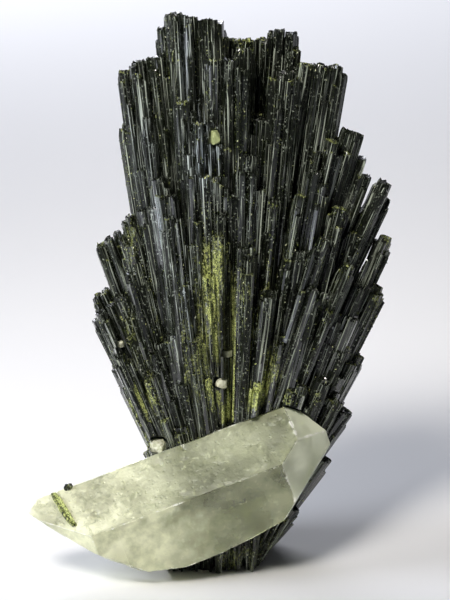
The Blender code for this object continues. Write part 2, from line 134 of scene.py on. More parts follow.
# Crystals that close the gaps behind the edge: tip x, y, z, lean, width and thickness
gapCrystals = [
    (21.2, 1.6, 54.0, 22.5, 2.4, 2.2), (20.2, 0.8, 50.5, 21.5, 2.6, 2.2),
    (22.0, 1.4, 46.0, 23.0, 2.4, 2.2), (20.6, 0.4, 42.0, 23.0, 2.4, 2.2),
    (19.4, 1.8, 36.5, 25.0, 2.6, 2.2), (17.6, 0.6, 30.5, 26.0, 2.6, 2.2),
    (16.4, 1.4, 25.0, 28.0, 2.4, 2.2), (14.2, 0.2, 20.5, 29.0, 2.6, 2.2),
    (12.4, 0.8, 15.0, 31.0, 2.4, 2.2), (-17.4, 1.2, 39.5, -22.0, 2.4, 2.2),
    (-17.0, 0.6, 35.0, -23.0, 2.6, 2.2), (-15.4, 0.2, 30.5, -23.0, 2.4, 2.2),
    (-14.6, -0.6, 26.0, -24.0, 2.6, 2.2), (-12.6, -1.4, 21.5, -24.0, 2.4, 2.2),
    (-11.6, -2.0, 17.0, -25.0, 2.4, 2.2), (-9.4, -2.6, 13.0, -25.0, 2.4, 2.2),
    (-8.0, -4.0, 9.0, -24.0, 2.6, 2.2), (9.6, -2.0, 9.5, 30.0, 2.6, 2.2),
    (17.4, 1.6, 61.0, 15.0, 2.4, 2.2), (22.0, 0.6, 42.0, 24.0, 2.4, 2.2),
    (23.0, 0.8, 47.5, 23.5, 2.2, 2.2), (19.2, -2.2, 42.5, 21.5, 2.4, 2.2),
    (18.2, -3.4, 38.0, 21.5, 2.6, 2.2), (17.4, -2.6, 33.5, 23.0, 2.4, 2.2),
    (16.2, -3.6, 29.0, 24.0, 2.6, 2.2), (15.0, -2.8, 24.5, 26.0, 2.4, 2.2),
    (13.6, -3.4, 20.0, 28.0, 2.6, 2.2),
]


# Small tools

def linear(hexColour):
    # an sRGB hex value as the linear colour that a shader wants
    channels = [int(hexColour[n:n + 2], 16) / 255 for n in (1, 3, 5)]
    return (*[c / 12.92 if c <= 0.04045 else ((c + 0.055) / 1.055) ** 2.4 for c in channels], 1.0)


def addNode(tree, kind, inputs=None, **settings):
    # adds a node, sets it up, and sets or links its inputs, which go by name or by number
    made = tree.nodes.new(kind)
    for key, value in settings.items():
        setattr(made, key, value)
    for socket, value in (inputs or {}).items():
        if isinstance(value, bpy.types.NodeSocket):
            tree.links.new(value, made.inputs[socket])
        else:
            made.inputs[socket].default_value = value
    return made


def newMaterial(name):
    made = bpy.data.materials.new(name)
    made.use_nodes = True
    made.node_tree.nodes.clear()
    return made, made.node_tree


def newObject(name, data, material=None):
    made = bpy.data.objects.new(name, data)
    bpy.context.scene.collection.objects.link(made)
    if material:
        data.materials.clear()
        data.materials.append(material)
    return made


def meshPoints(data):
    # the mesh's corner points in millimetres
    points = np.empty(len(data.vertices) * 3)
    data.vertices.foreach_get("co", points)
    return points.reshape(-1, 3) / mm


def setFloats(data, name, values):
    layer = data.attributes.get(name) or data.attributes.new(name, "FLOAT", "POINT")
    layer.data.foreach_set("value", values.astype(np.float32))


def getFloats(data, name):
    values = np.empty(len(data.vertices))
    data.attributes[name].data.foreach_get("value", values)
    return values


def plainMesh(thing):
    # turns an object's modifiers into plain mesh
    bpy.context.view_layer.update()
    graph = bpy.context.evaluated_depsgraph_get()
    settled = bpy.data.meshes.new_from_object(thing.evaluated_get(graph))
    thing.modifiers.clear()
    thing.data = settled
    return thing


def shareOfTable(table, at):
    xs, ys = zip(*table)
    return float(np.interp(at, xs, ys))


# The crystals' layout, the same as the frame's

def layOutFan():
    # one row for each crystal: tip x, y, z, lean, width, thickness, turn, slant across, slant in depth
    rows = []
    chance = random.Random(fan["seed"])
    for left, right, zLeft, zRight, front, lean, columns, deep in fanGroups.values():
        pitch = (right - left) / columns
        for row in range(deep):
            for column in range(columns):
                share = (column + 0.5) / columns
                drop = chance.uniform(0.0, fan["drop"]) + fan["rowDrop"] * row * chance.random()
                x = left + pitch * (column + 0.5)
                y = front + fan["rowPitch"] * row + chance.uniform(-0.4, 0.4)
                z = zLeft + (zRight - zLeft) * share - drop
                width = pitch * chance.uniform(*fan["overlap"])
                thickness = chance.uniform(*fan["thickness"])
                slant = (chance.uniform(-0.18, 0.18), chance.uniform(-0.25, 0.1))
                rows.append((x, y, z, lean, width, thickness, chance.uniform(-14, 14), *slant))
    chance = random.Random(fan["seed"] + 1)
    first, last = fanReach[0][0], fanReach[-1][0]
    for depth, shortest, longest, count in fanRanks + gapRanks:
        for place in range(count):
            angle = first + (last - first) * (place + 0.5 + chance.uniform(-0.3, 0.3)) / count
            reach = shareOfTable(fanReach, angle * fan["edgeMargin"]) * chance.uniform(shortest, longest)
            x = reach * math.sin(math.radians(angle))
            z = reach * math.cos(math.radians(angle)) - fan["rootDepth"]
            away = math.hypot(x, z + fan["rootDepth"])
            tallness = min(1.0, max(0.0, (away - fan["uprightFrom"]) / fan["uprightOver"]))
            lean = math.degrees(math.atan2(x, z + fan["rootDepth"])) * (1.0 - fan["upright"] * tallness)
            width = chance.uniform(*fan["rankWidth"]) * (0.6 + 0.4 * reach / 80.0)  # shorter ones are thinner
            thickness = chance.uniform(*fan["rankThickness"])
            y = depth + chance.uniform(-0.7, 0.7)
            slant = (chance.uniform(-0.3, 0.3), chance.uniform(-0.3, 0.15))
            rows.append((x, y, z, lean, width, thickness, chance.uniform(-30, 30), *slant))
    rows += [(*crystal, chance.uniform(-20, 20), -0.2, -0.2) for crystal in gapCrystals]
    return np.array(rows)


# Bars: long crystals made together, as arrays

def barAxes(tip, lean, turn):
    # each bar's own directions: across, in depth, and along to the tip
    footDepth = tip[:, 1] * np.where(tip[:, 1] < 0, 0.7, 0.9)
    pitch = (tip[:, 1] - footDepth) / np.maximum(tip[:, 2], 1.0)
    along = np.stack([np.tan(np.radians(lean)), pitch, np.ones(len(tip))], 1)
    along /= np.linalg.norm(along, axis=1, keepdims=True)
    across = np.cross((0.0, 1.0, 0.0), along)
    across /= np.linalg.norm(across, axis=1, keepdims=True)
    deep = np.cross(along, across)
    turned = np.radians(turn)[:, None]
    return (
        across * np.cos(turned) + deep * np.sin(turned),
        deep * np.cos(turned) - across * np.sin(turned),
        along,
    )


def crystalOutline(chance, count, points, uneven, step):
    # a six-sided outline with unequal faces, in shares of the width, cut by lengthwise steps
    gaps = chance.uniform(0.35, 1.65, (count, points))
    angle = 2 * np.pi * (np.cumsum(gaps, 1) / gaps.sum(1, keepdims=True) + chance.random((count, 1)))
    faceAngle = np.radians([30, 90, 150, 210, 270, 330])
    faceDistance = 0.433 * chance.uniform(1 - uneven, 1 + uneven, (count, 6))
    towards = np.cos(angle[:, :, None] - faceAngle)
    radius = np.where(towards > 0.1, faceDistance[:, None, :] / np.maximum(towards, 0.1), 9.0).min(2)
    groove = np.repeat(chance.exponential(step, (count, points // 2)), 2, axis=1)
    radius = radius * (1 - np.minimum(groove, 4 * step))
    return np.stack([radius * np.cos(angle), radius * np.sin(angle)], 2)


def growBars(tip, axes, stations, centres, outline, swell, rim, footHeight):
    # corner points of every bar, ring by ring from the tip, then the middle of each end
    across, deep, along = axes
    section = centres[:, :, None, :] + outline[:, None] * swell[:, :, None, None]
    points = (
        tip[:, None, None] - along[:, None, None] * stations[:, :, None, None]
        + across[:, None, None] * section[..., :1] + deep[:, None, None] * section[..., 1:]
    )
    points[:, 0] += along[:, None] * rim[:, :, None]
    if footHeight is not None:
        drop = (points[:, -1, :, 2] - footHeight[:, None]) / along[:, None, 2]
        points[:, -1] -= along[:, None] * drop[:, :, None]
    top = points[:, 0].mean(1) - along * np.abs(rim).mean(1)[:, None] * 0.4
    bottom = points[:, -1].mean(1)
    count, rings, sides = points.shape[:3]
    return np.concatenate([points.reshape(count, rings * sides, 3), top[:, None], bottom[:, None]], 1)


def barMesh(name, points, stations, outline, attributes):
    # one mesh from all the bars, with a UV map in millimetres: round each bar, and down from its tip
    count, each = points.shape[:2]
    rings, sides = stations.shape[1], outline.shape[1]
    ring, side = np.meshgrid(np.arange(rings - 1), np.arange(sides), indexing="ij")
    after = (side + 1) % sides
    quads = np.stack([
        ring * sides + side, (ring + 1) * sides + side, (ring + 1) * sides + after, ring * sides + after,
    ], -1).reshape(-1, 4)
    corner = np.arange(sides)
    following = (corner + 1) % sides
    lastRing = (rings - 1) * sides
    caps = np.concatenate([
        np.stack([np.full(sides, rings * sides), corner, following], 1),
        np.stack([np.full(sides, rings * sides + 1), lastRing + following, lastRing + corner], 1),
    ])
    start = np.arange(count)[:, None, None] * each
    faces = (quads[None] + start).reshape(-1, 4).tolist() + (caps[None] + start).reshape(-1, 3).tolist()
    data = bpy.data.meshes.new(name)
    data.from_pydata((points.reshape(-1, 3) * mm).tolist(), [], faces)

    edge = np.linalg.norm(np.roll(outline, -1, 1) - outline, axis=2)
    girth = np.concatenate([np.zeros((count, 1)), np.cumsum(edge, 1)], 1)
    girth += 7.3 * np.arange(count)[:, None]  # so that no two bars share a pattern
    u = np.stack([girth[:, side], girth[:, side], girth[:, side + 1], girth[:, side + 1]], -1)
    v = np.stack([stations[:, ring], stations[:, ring + 1], stations[:, ring + 1], stations[:, ring]], -1)
    wall = np.stack([u, v], -1).reshape(-1, 2)
    ends = np.tile(np.array([[0.0, 0.0], [0.3, 0.0], [0.3, 0.3]]), (count * 2 * sides, 1))
    data.uv_layers.new(name="faceLines").data.foreach_set("uv", np.concatenate([wall, ends]).ravel())
    for key, values in attributes.items():
        kind = "FLOAT_VECTOR" if values.ndim == 3 else "FLOAT"
        field = "vector" if values.ndim == 3 else "value"
        data.attributes.new(key, kind, "POINT").data.foreach_set(field, values.astype(np.float32).ravel())
    return data


def perPoint(values, each):
    # repeats one value for each bar on all its points
    return np.repeat(values[:, None], each, axis=1)


# Yellow-green dusting: where it is thick, as x, z, half width, half height and amount, in millimetres
mossPatches = [
    (-0.5, 34.0, 5.0, 13.0, 1.3), (2.0, 25.0, 7.5, 12.0, 1.3), (-2.5, 46.0, 3.0, 7.0, 1.0),
    (-13.0, 23.0, 3.2, 8.0, 1.1), (-9.0, 15.0, 4.0, 6.0, 0.7), (-14.6, 50.0, 1.8, 9.0, 0.6),
    (-15.5, 60.0, 1.6, 8.0, 0.5), (-10.6, 74.0, 1.6, 5.0, 0.45), (-4.0, 73.0, 1.6, 6.0, 0.35),
    (4.0, 38.0, 2.5, 9.0, 0.45), (7.5, 55.0, 3.0, 9.0, 0.35), (-7.5, 40.0, 1.2, 9.0, 0.6),
    (22.0, 38.0, 1.6, 9.0, 0.55), (24.0, 50.0, 1.4, 3.0, 0.9), (2.0, 2.5, 12.0, 4.5, 0.6),
    (12.0, 76.0, 3.0, 1.5, 0.65), (-15.0, 37.0, 1.6, 5.0, 0.6), (-14.0, 19.0, 2.2, 6.0, 1.0),
    (3.0, 79.0, 4.0, 2.5, 0.5), (-9.0, 79.0, 1.2, 2.5, 0.75), (-1.5, 68.0, 1.5, 4.0, 0.5),
    (3.5, 27.0, 3.0, 10.0, 0.85), (-5.0, 24.0, 2.0, 9.0, 0.8), (10.5, 30.0, 2.0, 8.0, 0.45),
    (14.0, 45.0, 1.4, 8.0, 0.4), (-11.0, 40.0, 1.4, 7.0, 0.5),
]

mossGrowth = {
    "back": 0.6, "backFrom": 2.0,  # thinner behind this depth
    "tips": 0.3, "tipAmount": 0.65, "tipLength": 0.7,  # share of green tips, how thick, and how far down
}

# Painted glints: patches at the front where the striation lines are painted denser and bluish white, as
# reflections, given in the same way
glintPatches = [
    (-3.6, 63.5, 2.6, 5.0, 1.0), (-10.6, 54.5, 1.0, 3.0, 0.8), (-6.6, 77.5, 0.8, 6.0, 0.9),
    (-7.2, 43.5, 3.2, 8.0, 0.5), (3.0, 54.5, 0.8, 2.5, 1.0), (-13.0, 66.0, 2.0, 5.0, 0.4),
]


def patchesAt(local, patches):
    # how strongly the patches cover each point
    total = np.zeros(local.shape[:-1])
    for x, z, halfWidth, halfHeight, amount in patches:
        away = ((local[..., 0] - x) / halfWidth) ** 2 + ((local[..., 2] - z) / halfHeight) ** 2
        total = np.maximum(total, amount * np.exp(-away))
    return total


def mossAt(points, tipDistance, greenTip):
    # how thick the dusting is at each point, from the patches, and on the tips that are green
    local = points - np.array(fan["footPlace"])
    total = patchesAt(local, mossPatches)
    total *= np.where(local[..., 1] > mossGrowth["backFrom"], mossGrowth["back"], 1.0)
    onTip = mossGrowth["tipAmount"] * greenTip * np.exp(-tipDistance / mossGrowth["tipLength"])
    return np.maximum(total, onTip)


def glintAt(points):
    # the painted glints are on the front half alone
    local = points - np.array(fan["footPlace"])
    return patchesAt(local, glintPatches) * (local[..., 1] < 0.0)


# The fan's main crystals, each a fluted six-sided column, and the thinner ones that grow against them
column = {"sides": 32, "rings": 9, "uneven": 0.14, "step": 0.07, "ragged": 0.35, "closer": 1.1, "seed": 5}
companion = {
    "sides": 8, "rings": 6, "uneven": 0.25, "step": 0.05, "ragged": 0.2, "closer": 1.0, "seed": 21,
    "each": 6, "width": (0.7, 2.0),  # how many to each main crystal, and how wide
    "apart": (0.3, 0.85), "drop": 3.0,  # distance from its middle in widths, and how far the tips stay below
    "outside": 0.45,  # those on the side away from the fan's middle stay closer, within the outline
    "behind": 0.7, "wider": 1.5, "below": (0.8, 2.2),  # the broad one at its back, which closes the gaps
}


def layOutCompanions(layout):
    # thinner crystals grown against the main ones, each as a row like those of layOutFan
    chance = np.random.default_rng(companion["seed"])
    parents = np.repeat(layout, companion["each"], axis=0)
    count = len(parents)
    around = chance.uniform(0, 2 * np.pi, count)
    apart = chance.uniform(*companion["apart"], count)
    drop = np.minimum(chance.exponential(companion["drop"], count), 0.2 * parents[:, 2])
    width = chance.uniform(*companion["width"], count) * np.clip(parents[:, 4] / 2.4, 0.6, 1.2)
    rows = parents.copy()
    aside = parents[:, 4] * apart * np.cos(around)
    aside *= np.where(aside * parents[:, 0] > 0, companion["outside"], 1.0)
    rows[:, 0] += aside - drop * np.tan(np.radians(parents[:, 3]))
    rows[:, 1] += parents[:, 5] * apart * np.sin(around)
    rows[:, 2] -= drop
    meeting = np.degrees((1 - fan["rootTaper"]) * aside / parents[:, 2])  # so that they join at the foot
    rows[:, 3] += meeting + chance.uniform(-0.4, 0.4, count)
    rows[:, 4] = width
    rows[:, 5] = width * chance.uniform(0.9, 1.5, count)
    rows[:, 6] += chance.uniform(-20, 20, count)
    rows[:, 7:] = chance.uniform(-0.4, 0.3, (count, 2))
    backs = layout.copy()
    below = chance.uniform(*companion["below"], len(backs))
    backs[:, 0] -= below * np.tan(np.radians(backs[:, 3]))
    backs[:, 1] += companion["behind"]
    backs[:, 2] -= below
    backs[:, 4:6] *= companion["wider"], 1.1
    return np.concatenate([rows, backs])


def buildColumns(name, layout, kind):
    chance = np.random.default_rng(kind["seed"])
    count = len(layout)
    tip = layout[:, :3] + np.array(fan["footPlace"])
    lean, width, thickness, turn = layout[:, 3], layout[:, 4], layout[:, 5], layout[:, 6]
    axes = barAxes(layout[:, :3], lean, turn)
    length = tip[:, 2] / axes[2][:, 2]
    outline = crystalOutline(chance, count, kind["sides"], kind["uneven"], kind["step"])
    outline *= kind["closer"] * np.stack([width, thickness / 0.866], 1)[:, None]
    spread = np.concatenate([[0.0, 0.004, 0.012], np.linspace(0.06, 1.0, kind["rings"] - 3)])
    stations = length[:, None] * spread
    swell = 1 - (1 - fan["rootTaper"]) * spread + chance.uniform(-0.015, 0.015, stations.shape)
    swell[:, 0] *= chance.uniform(0.80, 0.94, count)
    swell[:, 1] *= chance.uniform(0.93, 0.99, count)
    rim = outline[..., 0] * layout[:, 7:8] + outline[..., 1] * layout[:, 8:9]
    broken = chance.exponential(kind["ragged"], (count, kind["sides"] // 2))
    rim -= np.repeat(np.minimum(broken, 1.2), 2, axis=1)
    foot = np.where(np.arange(count) % 5 == 0, 0.0, chance.uniform(0.0, 0.5, count))
    centres = np.zeros((*stations.shape, 2))
    points = growBars(tip, axes, stations, centres, outline, swell, rim, foot)
    attributes = barAttributes(chance, axes, points, stations, kind["sides"])
    return barMesh(name, points, stations, outline, attributes)


def barAttributes(chance, axes, points, stations, sides):
    # for each point: its bar's tone and direction, the dusting and the painted glint there, and the way to
    # the tip
    count, each = points.shape[:2]
    rings = np.repeat(stations, sides, axis=1)
    below = np.concatenate([rings, stations[:, :1], stations[:, -1:]], 1)
    return {
        "shade": perPoint(chance.random(count), each),
        "moss": mossAt(points, below, chance.random((count, 1)) < mossGrowth["tips"]),
        "fresh": glintAt(points),
        "along": perPoint(axes[2], each),
        "tipRoom": below,
    }


# Smaller crystals grown along the sides of the main ones
sideCrystal = {
    "each": 8, "sides": 8,  # how many to each main crystal, and their sides
    "spread": [0.0, 0.015, 0.3, 0.65, 1.0],  # where the rings are, from tip to root
    "width": (0.25, 0.8), "proud": (0.80, 1.02),  # how wide, and how far out in half widths of the main one
    "nearTip": 0.12, "toFoot": 0.55,  # the share that starts near the tip, and the one that reaches the foot
    "length": (4, 22), "sink": 0.35,  # how long the others are, and how far they sink into the main one
    "lowest": 0.05, "seed": 11,
}


def buildSideCrystals(layout):
    chance = np.random.default_rng(sideCrystal["seed"])
    parents = np.repeat(layout, sideCrystal["each"], axis=0)
    count = len(parents)
    axes = barAxes(parents[:, :3], parents[:, 3], parents[:, 6])
    around = chance.uniform(0, 2 * np.pi, count)
    proud = chance.uniform(*sideCrystal["proud"], count)
    offset = np.stack([
        0.46 * parents[:, 4] * np.cos(around), 0.5 * parents[:, 5] * np.sin(around),
    ], 1) * proud[:, None]
    whole = parents[:, 2] / axes[2][:, 2]
    near = chance.random(count) < sideCrystal["nearTip"]
    drop = np.where(near, 0.3 + chance.exponential(0.9, count), chance.uniform(1.0, 0.75 * whole, count))
    drop = np.minimum(drop, 0.85 * whole)
    toFoot = chance.random(count) < sideCrystal["toFoot"]
    shorter = np.minimum(whole - drop, chance.uniform(*sideCrystal["length"], count))
    length = np.where(toFoot, whole - drop, shorter)
    width = chance.uniform(*sideCrystal["width"], count) * np.clip(parents[:, 4] / 2.2, 0.6, 1.2)
    outline = crystalOutline(chance, count, sideCrystal["sides"], 0.3, 0.05)
    outline *= np.stack([width, width * chance.uniform(0.7, 1.3, count)], 1)[:, None]
    spread = np.array(sideCrystal["spread"])
    stations = length[:, None] * spread
    taper = 1 - (1 - fan["rootTaper"]) * (drop[:, None] + stations) / whole[:, None]
    swell = taper + chance.uniform(-0.05, 0.05, stations.shape)
    swell[:, 0] *= chance.uniform(0.7, 0.95, count)
    sink = np.where(toFoot[:, None], 1.0, 1.0 - sideCrystal["sink"] * spread)
    centres = offset[:, None] * (taper * sink)[..., None]
    tip = parents[:, :3] + np.array(fan["footPlace"]) - axes[2] * drop[:, None]
    rim = outline[..., 0] * chance.uniform(-0.6, 0.6, (count, 1))
    rim += chance.uniform(-0.15, 0.05, outline.shape[:2])
    points = growBars(tip, axes, stations, centres, outline, swell, rim, None)
    points[..., 2] = np.maximum(points[..., 2], sideCrystal["lowest"])
    attributes = barAttributes(chance, axes, points, stations, sideCrystal["sides"])
    return barMesh("sideCrystals", points, stations, outline, attributes)


# Needles and crust, scattered over the crystals by Geometry Nodes. Sizes are in metres here, as in the nodes.
needle = {
    "Density": 1.4e6, "Mask": "needleRoom", "Patches": 500.0, "Lowest": 2.2 * mm,
    "Smallest": (0.08 * mm, 0.08 * mm, 0.6 * mm), "Largest": (0.22 * mm, 0.22 * mm, 3.0 * mm),
    "Wander": 0.02, "Corners": 4, "Narrowing": 0.35, "Seed": 4,
}
crust = {
    "Mask": "crustRoom", "Patches": 600.0, "Lowest": 0.4 * mm,
    "Smallest": (0.06 * mm, 0.06 * mm, 0.08 * mm), "Largest": (0.22 * mm, 0.22 * mm, 0.36 * mm),
    "Wander": 1.2, "Corners": 3, "Narrowing": 0.3, "Seed": 8,
}
crustDensity = {"mossCrust": 1.1e7, "mossOnCompanions": 0.9e7}  # per square metre, where the dusting is thick


def scatterTree():
    # small prisms on a surface, upright along its crystals, where the mask allows and nothing is in the way
    tree = bpy.data.node_groups.new("crystalScatter", "GeometryNodeTree")
    sockets = [
        ("Geometry", "NodeSocketGeometry"), ("Density", "NodeSocketFloat"), ("Mask", "NodeSocketString"),
        ("Smallest", "NodeSocketVector"), ("Largest", "NodeSocketVector"), ("Wander", "NodeSocketFloat"),
        ("Patches", "NodeSocketFloat"), ("Lowest", "NodeSocketFloat"), ("Corners", "NodeSocketInt"),
        ("Narrowing", "NodeSocketFloat"), ("Seed", "NodeSocketInt"), ("Finish", "NodeSocketMaterial"),
    ]
    for name, kind in sockets:
        tree.interface.new_socket(name, in_out="INPUT", socket_type=kind)
    tree.interface.new_socket("Geometry", in_out="OUTPUT", socket_type="NodeSocketGeometry")
    given = addNode(tree, "NodeGroupInput").outputs
    mask = addNode(tree, "GeometryNodeInputNamedAttribute", {"Name": given["Mask"]}, data_type="FLOAT")
    along = addNode(tree, "GeometryNodeInputNamedAttribute", {"Name": "along"}, data_type="FLOAT_VECTOR")
    patches = addNode(tree, "ShaderNodeTexNoise", {"Scale": given["Patches"], "Detail": 2.0})
    patchy = addNode(tree, "ShaderNodeMapRange", {0: patches.outputs[0], "From Min": 0.42, "From Max": 0.6})
    most = addNode(tree, "ShaderNodeMath", {
        0: given["Density"], 1: mask.outputs["Attribute"],
    }, operation="MULTIPLY")
    density = addNode(tree, "ShaderNodeMath", {
        0: most.outputs[0], 1: patchy.outputs[0],
    }, operation="MULTIPLY")
    spots = addNode(tree, "GeometryNodeDistributePointsOnFaces", {
        "Mesh": given["Geometry"], "Density": density.outputs[0], "Seed": given["Seed"],
    })
    place = addNode(tree, "GeometryNodeInputPosition").outputs[0]
    outward = spots.outputs["Normal"]
    lifted = addNode(tree, "ShaderNodeVectorMath", {0: outward, "Scale": 0.03 * mm}, operation="SCALE")
    start = addNode(tree, "ShaderNodeVectorMath", {0: place, 1: lifted.outputs[0]}, operation="ADD")
    cast = addNode(tree, "GeometryNodeRaycast", {
        "Target Geometry": given["Geometry"], "Source Position": start.outputs[0], "Ray Direction": outward,
        "Ray Length": 1.5 * mm,
    })
    height = addNode(tree, "ShaderNodeSeparateXYZ", {0: place}).outputs["Z"]
    tooLow = addNode(tree, "FunctionNodeCompare", {0: height, 1: given["Lowest"]}, operation="LESS_THAN")
    unfit = addNode(tree, "FunctionNodeBooleanMath", {
        0: cast.outputs["Is Hit"], 1: tooLow.outputs[0],
    }, operation="OR")
    openSpots = addNode(tree, "GeometryNodeDeleteGeometry", {
        "Geometry": spots.outputs["Points"], "Selection": unfit.outputs[0],
    }, domain="POINT")
    prism = addNode(tree, "GeometryNodeMeshCone", {
        "Vertices": given["Corners"], "Radius Top": given["Narrowing"], "Radius Bottom": 0.5, "Depth": 1.0,
    }, fill_type="NGON")
    sunk = addNode(tree, "GeometryNodeTransform", {
        "Geometry": prism.outputs["Mesh"], "Translation": (0.0, 0.0, -0.6),
    })
    wander = addNode(tree, "FunctionNodeRandomValue", {
        0: (-1.0, -1.0, -1.0), 1: (1.0, 1.0, 1.0), "Seed": given["Seed"],
    }, data_type="FLOAT_VECTOR")
    strayed = addNode(tree, "ShaderNodeVectorMath", {
        0: wander.outputs[0], "Scale": given["Wander"],
    }, operation="SCALE")
    aim = addNode(tree, "ShaderNodeVectorMath", {
        0: along.outputs["Attribute"], 1: strayed.outputs[0],
    }, operation="ADD")
    facing = addNode(tree, "FunctionNodeAlignRotationToVector", {"Vector": aim.outputs[0]}, axis="Z")
    spin = addNode(tree, "FunctionNodeRandomValue", {
        0: (0.0, 0.0, 0.0), 1: (0.0, 0.0, 6.28), "Seed": 3,
    }, data_type="FLOAT_VECTOR")
    spun = addNode(tree, "FunctionNodeEulerToRotation", {0: spin.outputs[0]})
    turned = addNode(tree, "FunctionNodeRotateRotation", {
        0: facing.outputs[0], 1: spun.outputs[0],
    }, rotation_space="LOCAL")
    size = addNode(tree, "FunctionNodeRandomValue", {
        0: given["Smallest"], 1: given["Largest"], "Seed": 5,
    }, data_type="FLOAT_VECTOR")
    placed = addNode(tree, "GeometryNodeInstanceOnPoints", {
        "Points": openSpots.outputs[0], "Instance": sunk.outputs[0], "Rotation": turned.outputs[0],
        "Scale": size.outputs[0],
    })
    tone = addNode(tree, "FunctionNodeRandomValue", {"Seed": 9}, data_type="FLOAT")
    toned = addNode(tree, "GeometryNodeStoreNamedAttribute", {
        "Geometry": placed.outputs[0], "Name": "shade", "Value": tone.outputs[1],
    }, data_type="FLOAT", domain="INSTANCE")
    real = addNode(tree, "GeometryNodeRealizeInstances", {"Geometry": toned.outputs[0]})
    coated = addNode(tree, "GeometryNodeSetMaterial", {
        "Geometry": real.outputs[0], "Material": given["Finish"],
    })
    addNode(tree, "NodeGroupOutput", {0: coated.outputs[0]})
    return tree


def scatterOver(base, name, tree, values):
    # a new piece of small crystals scattered over the base
    made = newObject(name, base.data.copy())
    modifier = made.modifiers.new("scatter", "NODES")
    modifier.node_group = tree
    for item in tree.interface.items_tree:
        if item.in_out == "INPUT" and item.name in values:
            modifier[item.identifier] = values[item.name]
    return plainMesh(made)


# Finishes

striatedLook = {
    # bundles of crystals in a face, striations and the finer ones between: per mm, across and along a crystal
    "bundles": (1.5, 0.09), "striae": (3.0, 0.05), "hairs": (6.5, 0.14),
    "striaeFrom": (0.69, 0.79), "hairsFrom": (0.64, 0.71),  # the part of each pattern that is painted pale, as highlights along the striations
    "glintPatchLines": 0.09, "bundlesDiffer": 0.16,  # how much more of each line is painted pale on the glint patches, and from bundle to bundle
    "areas": 0.22, "grit": 2.6, "dust": 5.5, "brokenEnds": 5.0,  # per mm
    "streaks": (2.4, 2.4, 0.35),  # the moss gathers in these: per mm across, in depth and upright
    # the pale colours are painted highlights for the striation lines and specks; the second, bluish white, is
    # for the glint patches
    "dark": ("#060804", "#12160c"), "dusty": "#4c553f", "paintedHighlight": ("#aab2a2", "#d3e0e8"),
    "moss": ("#3c4916", "#e0e892"), "mossFrom": (0.13, 0.25), "mossRoughness": 0.65,
    "roughness": (0.08, 0.45), "ior": 1.74, "specular": 0.16, "shineRoughness": 0.06,
    "bundleStep": 0.25 * mm, "striaDepth": 0.16 * mm, "gritDepth": 0.05 * mm,
}


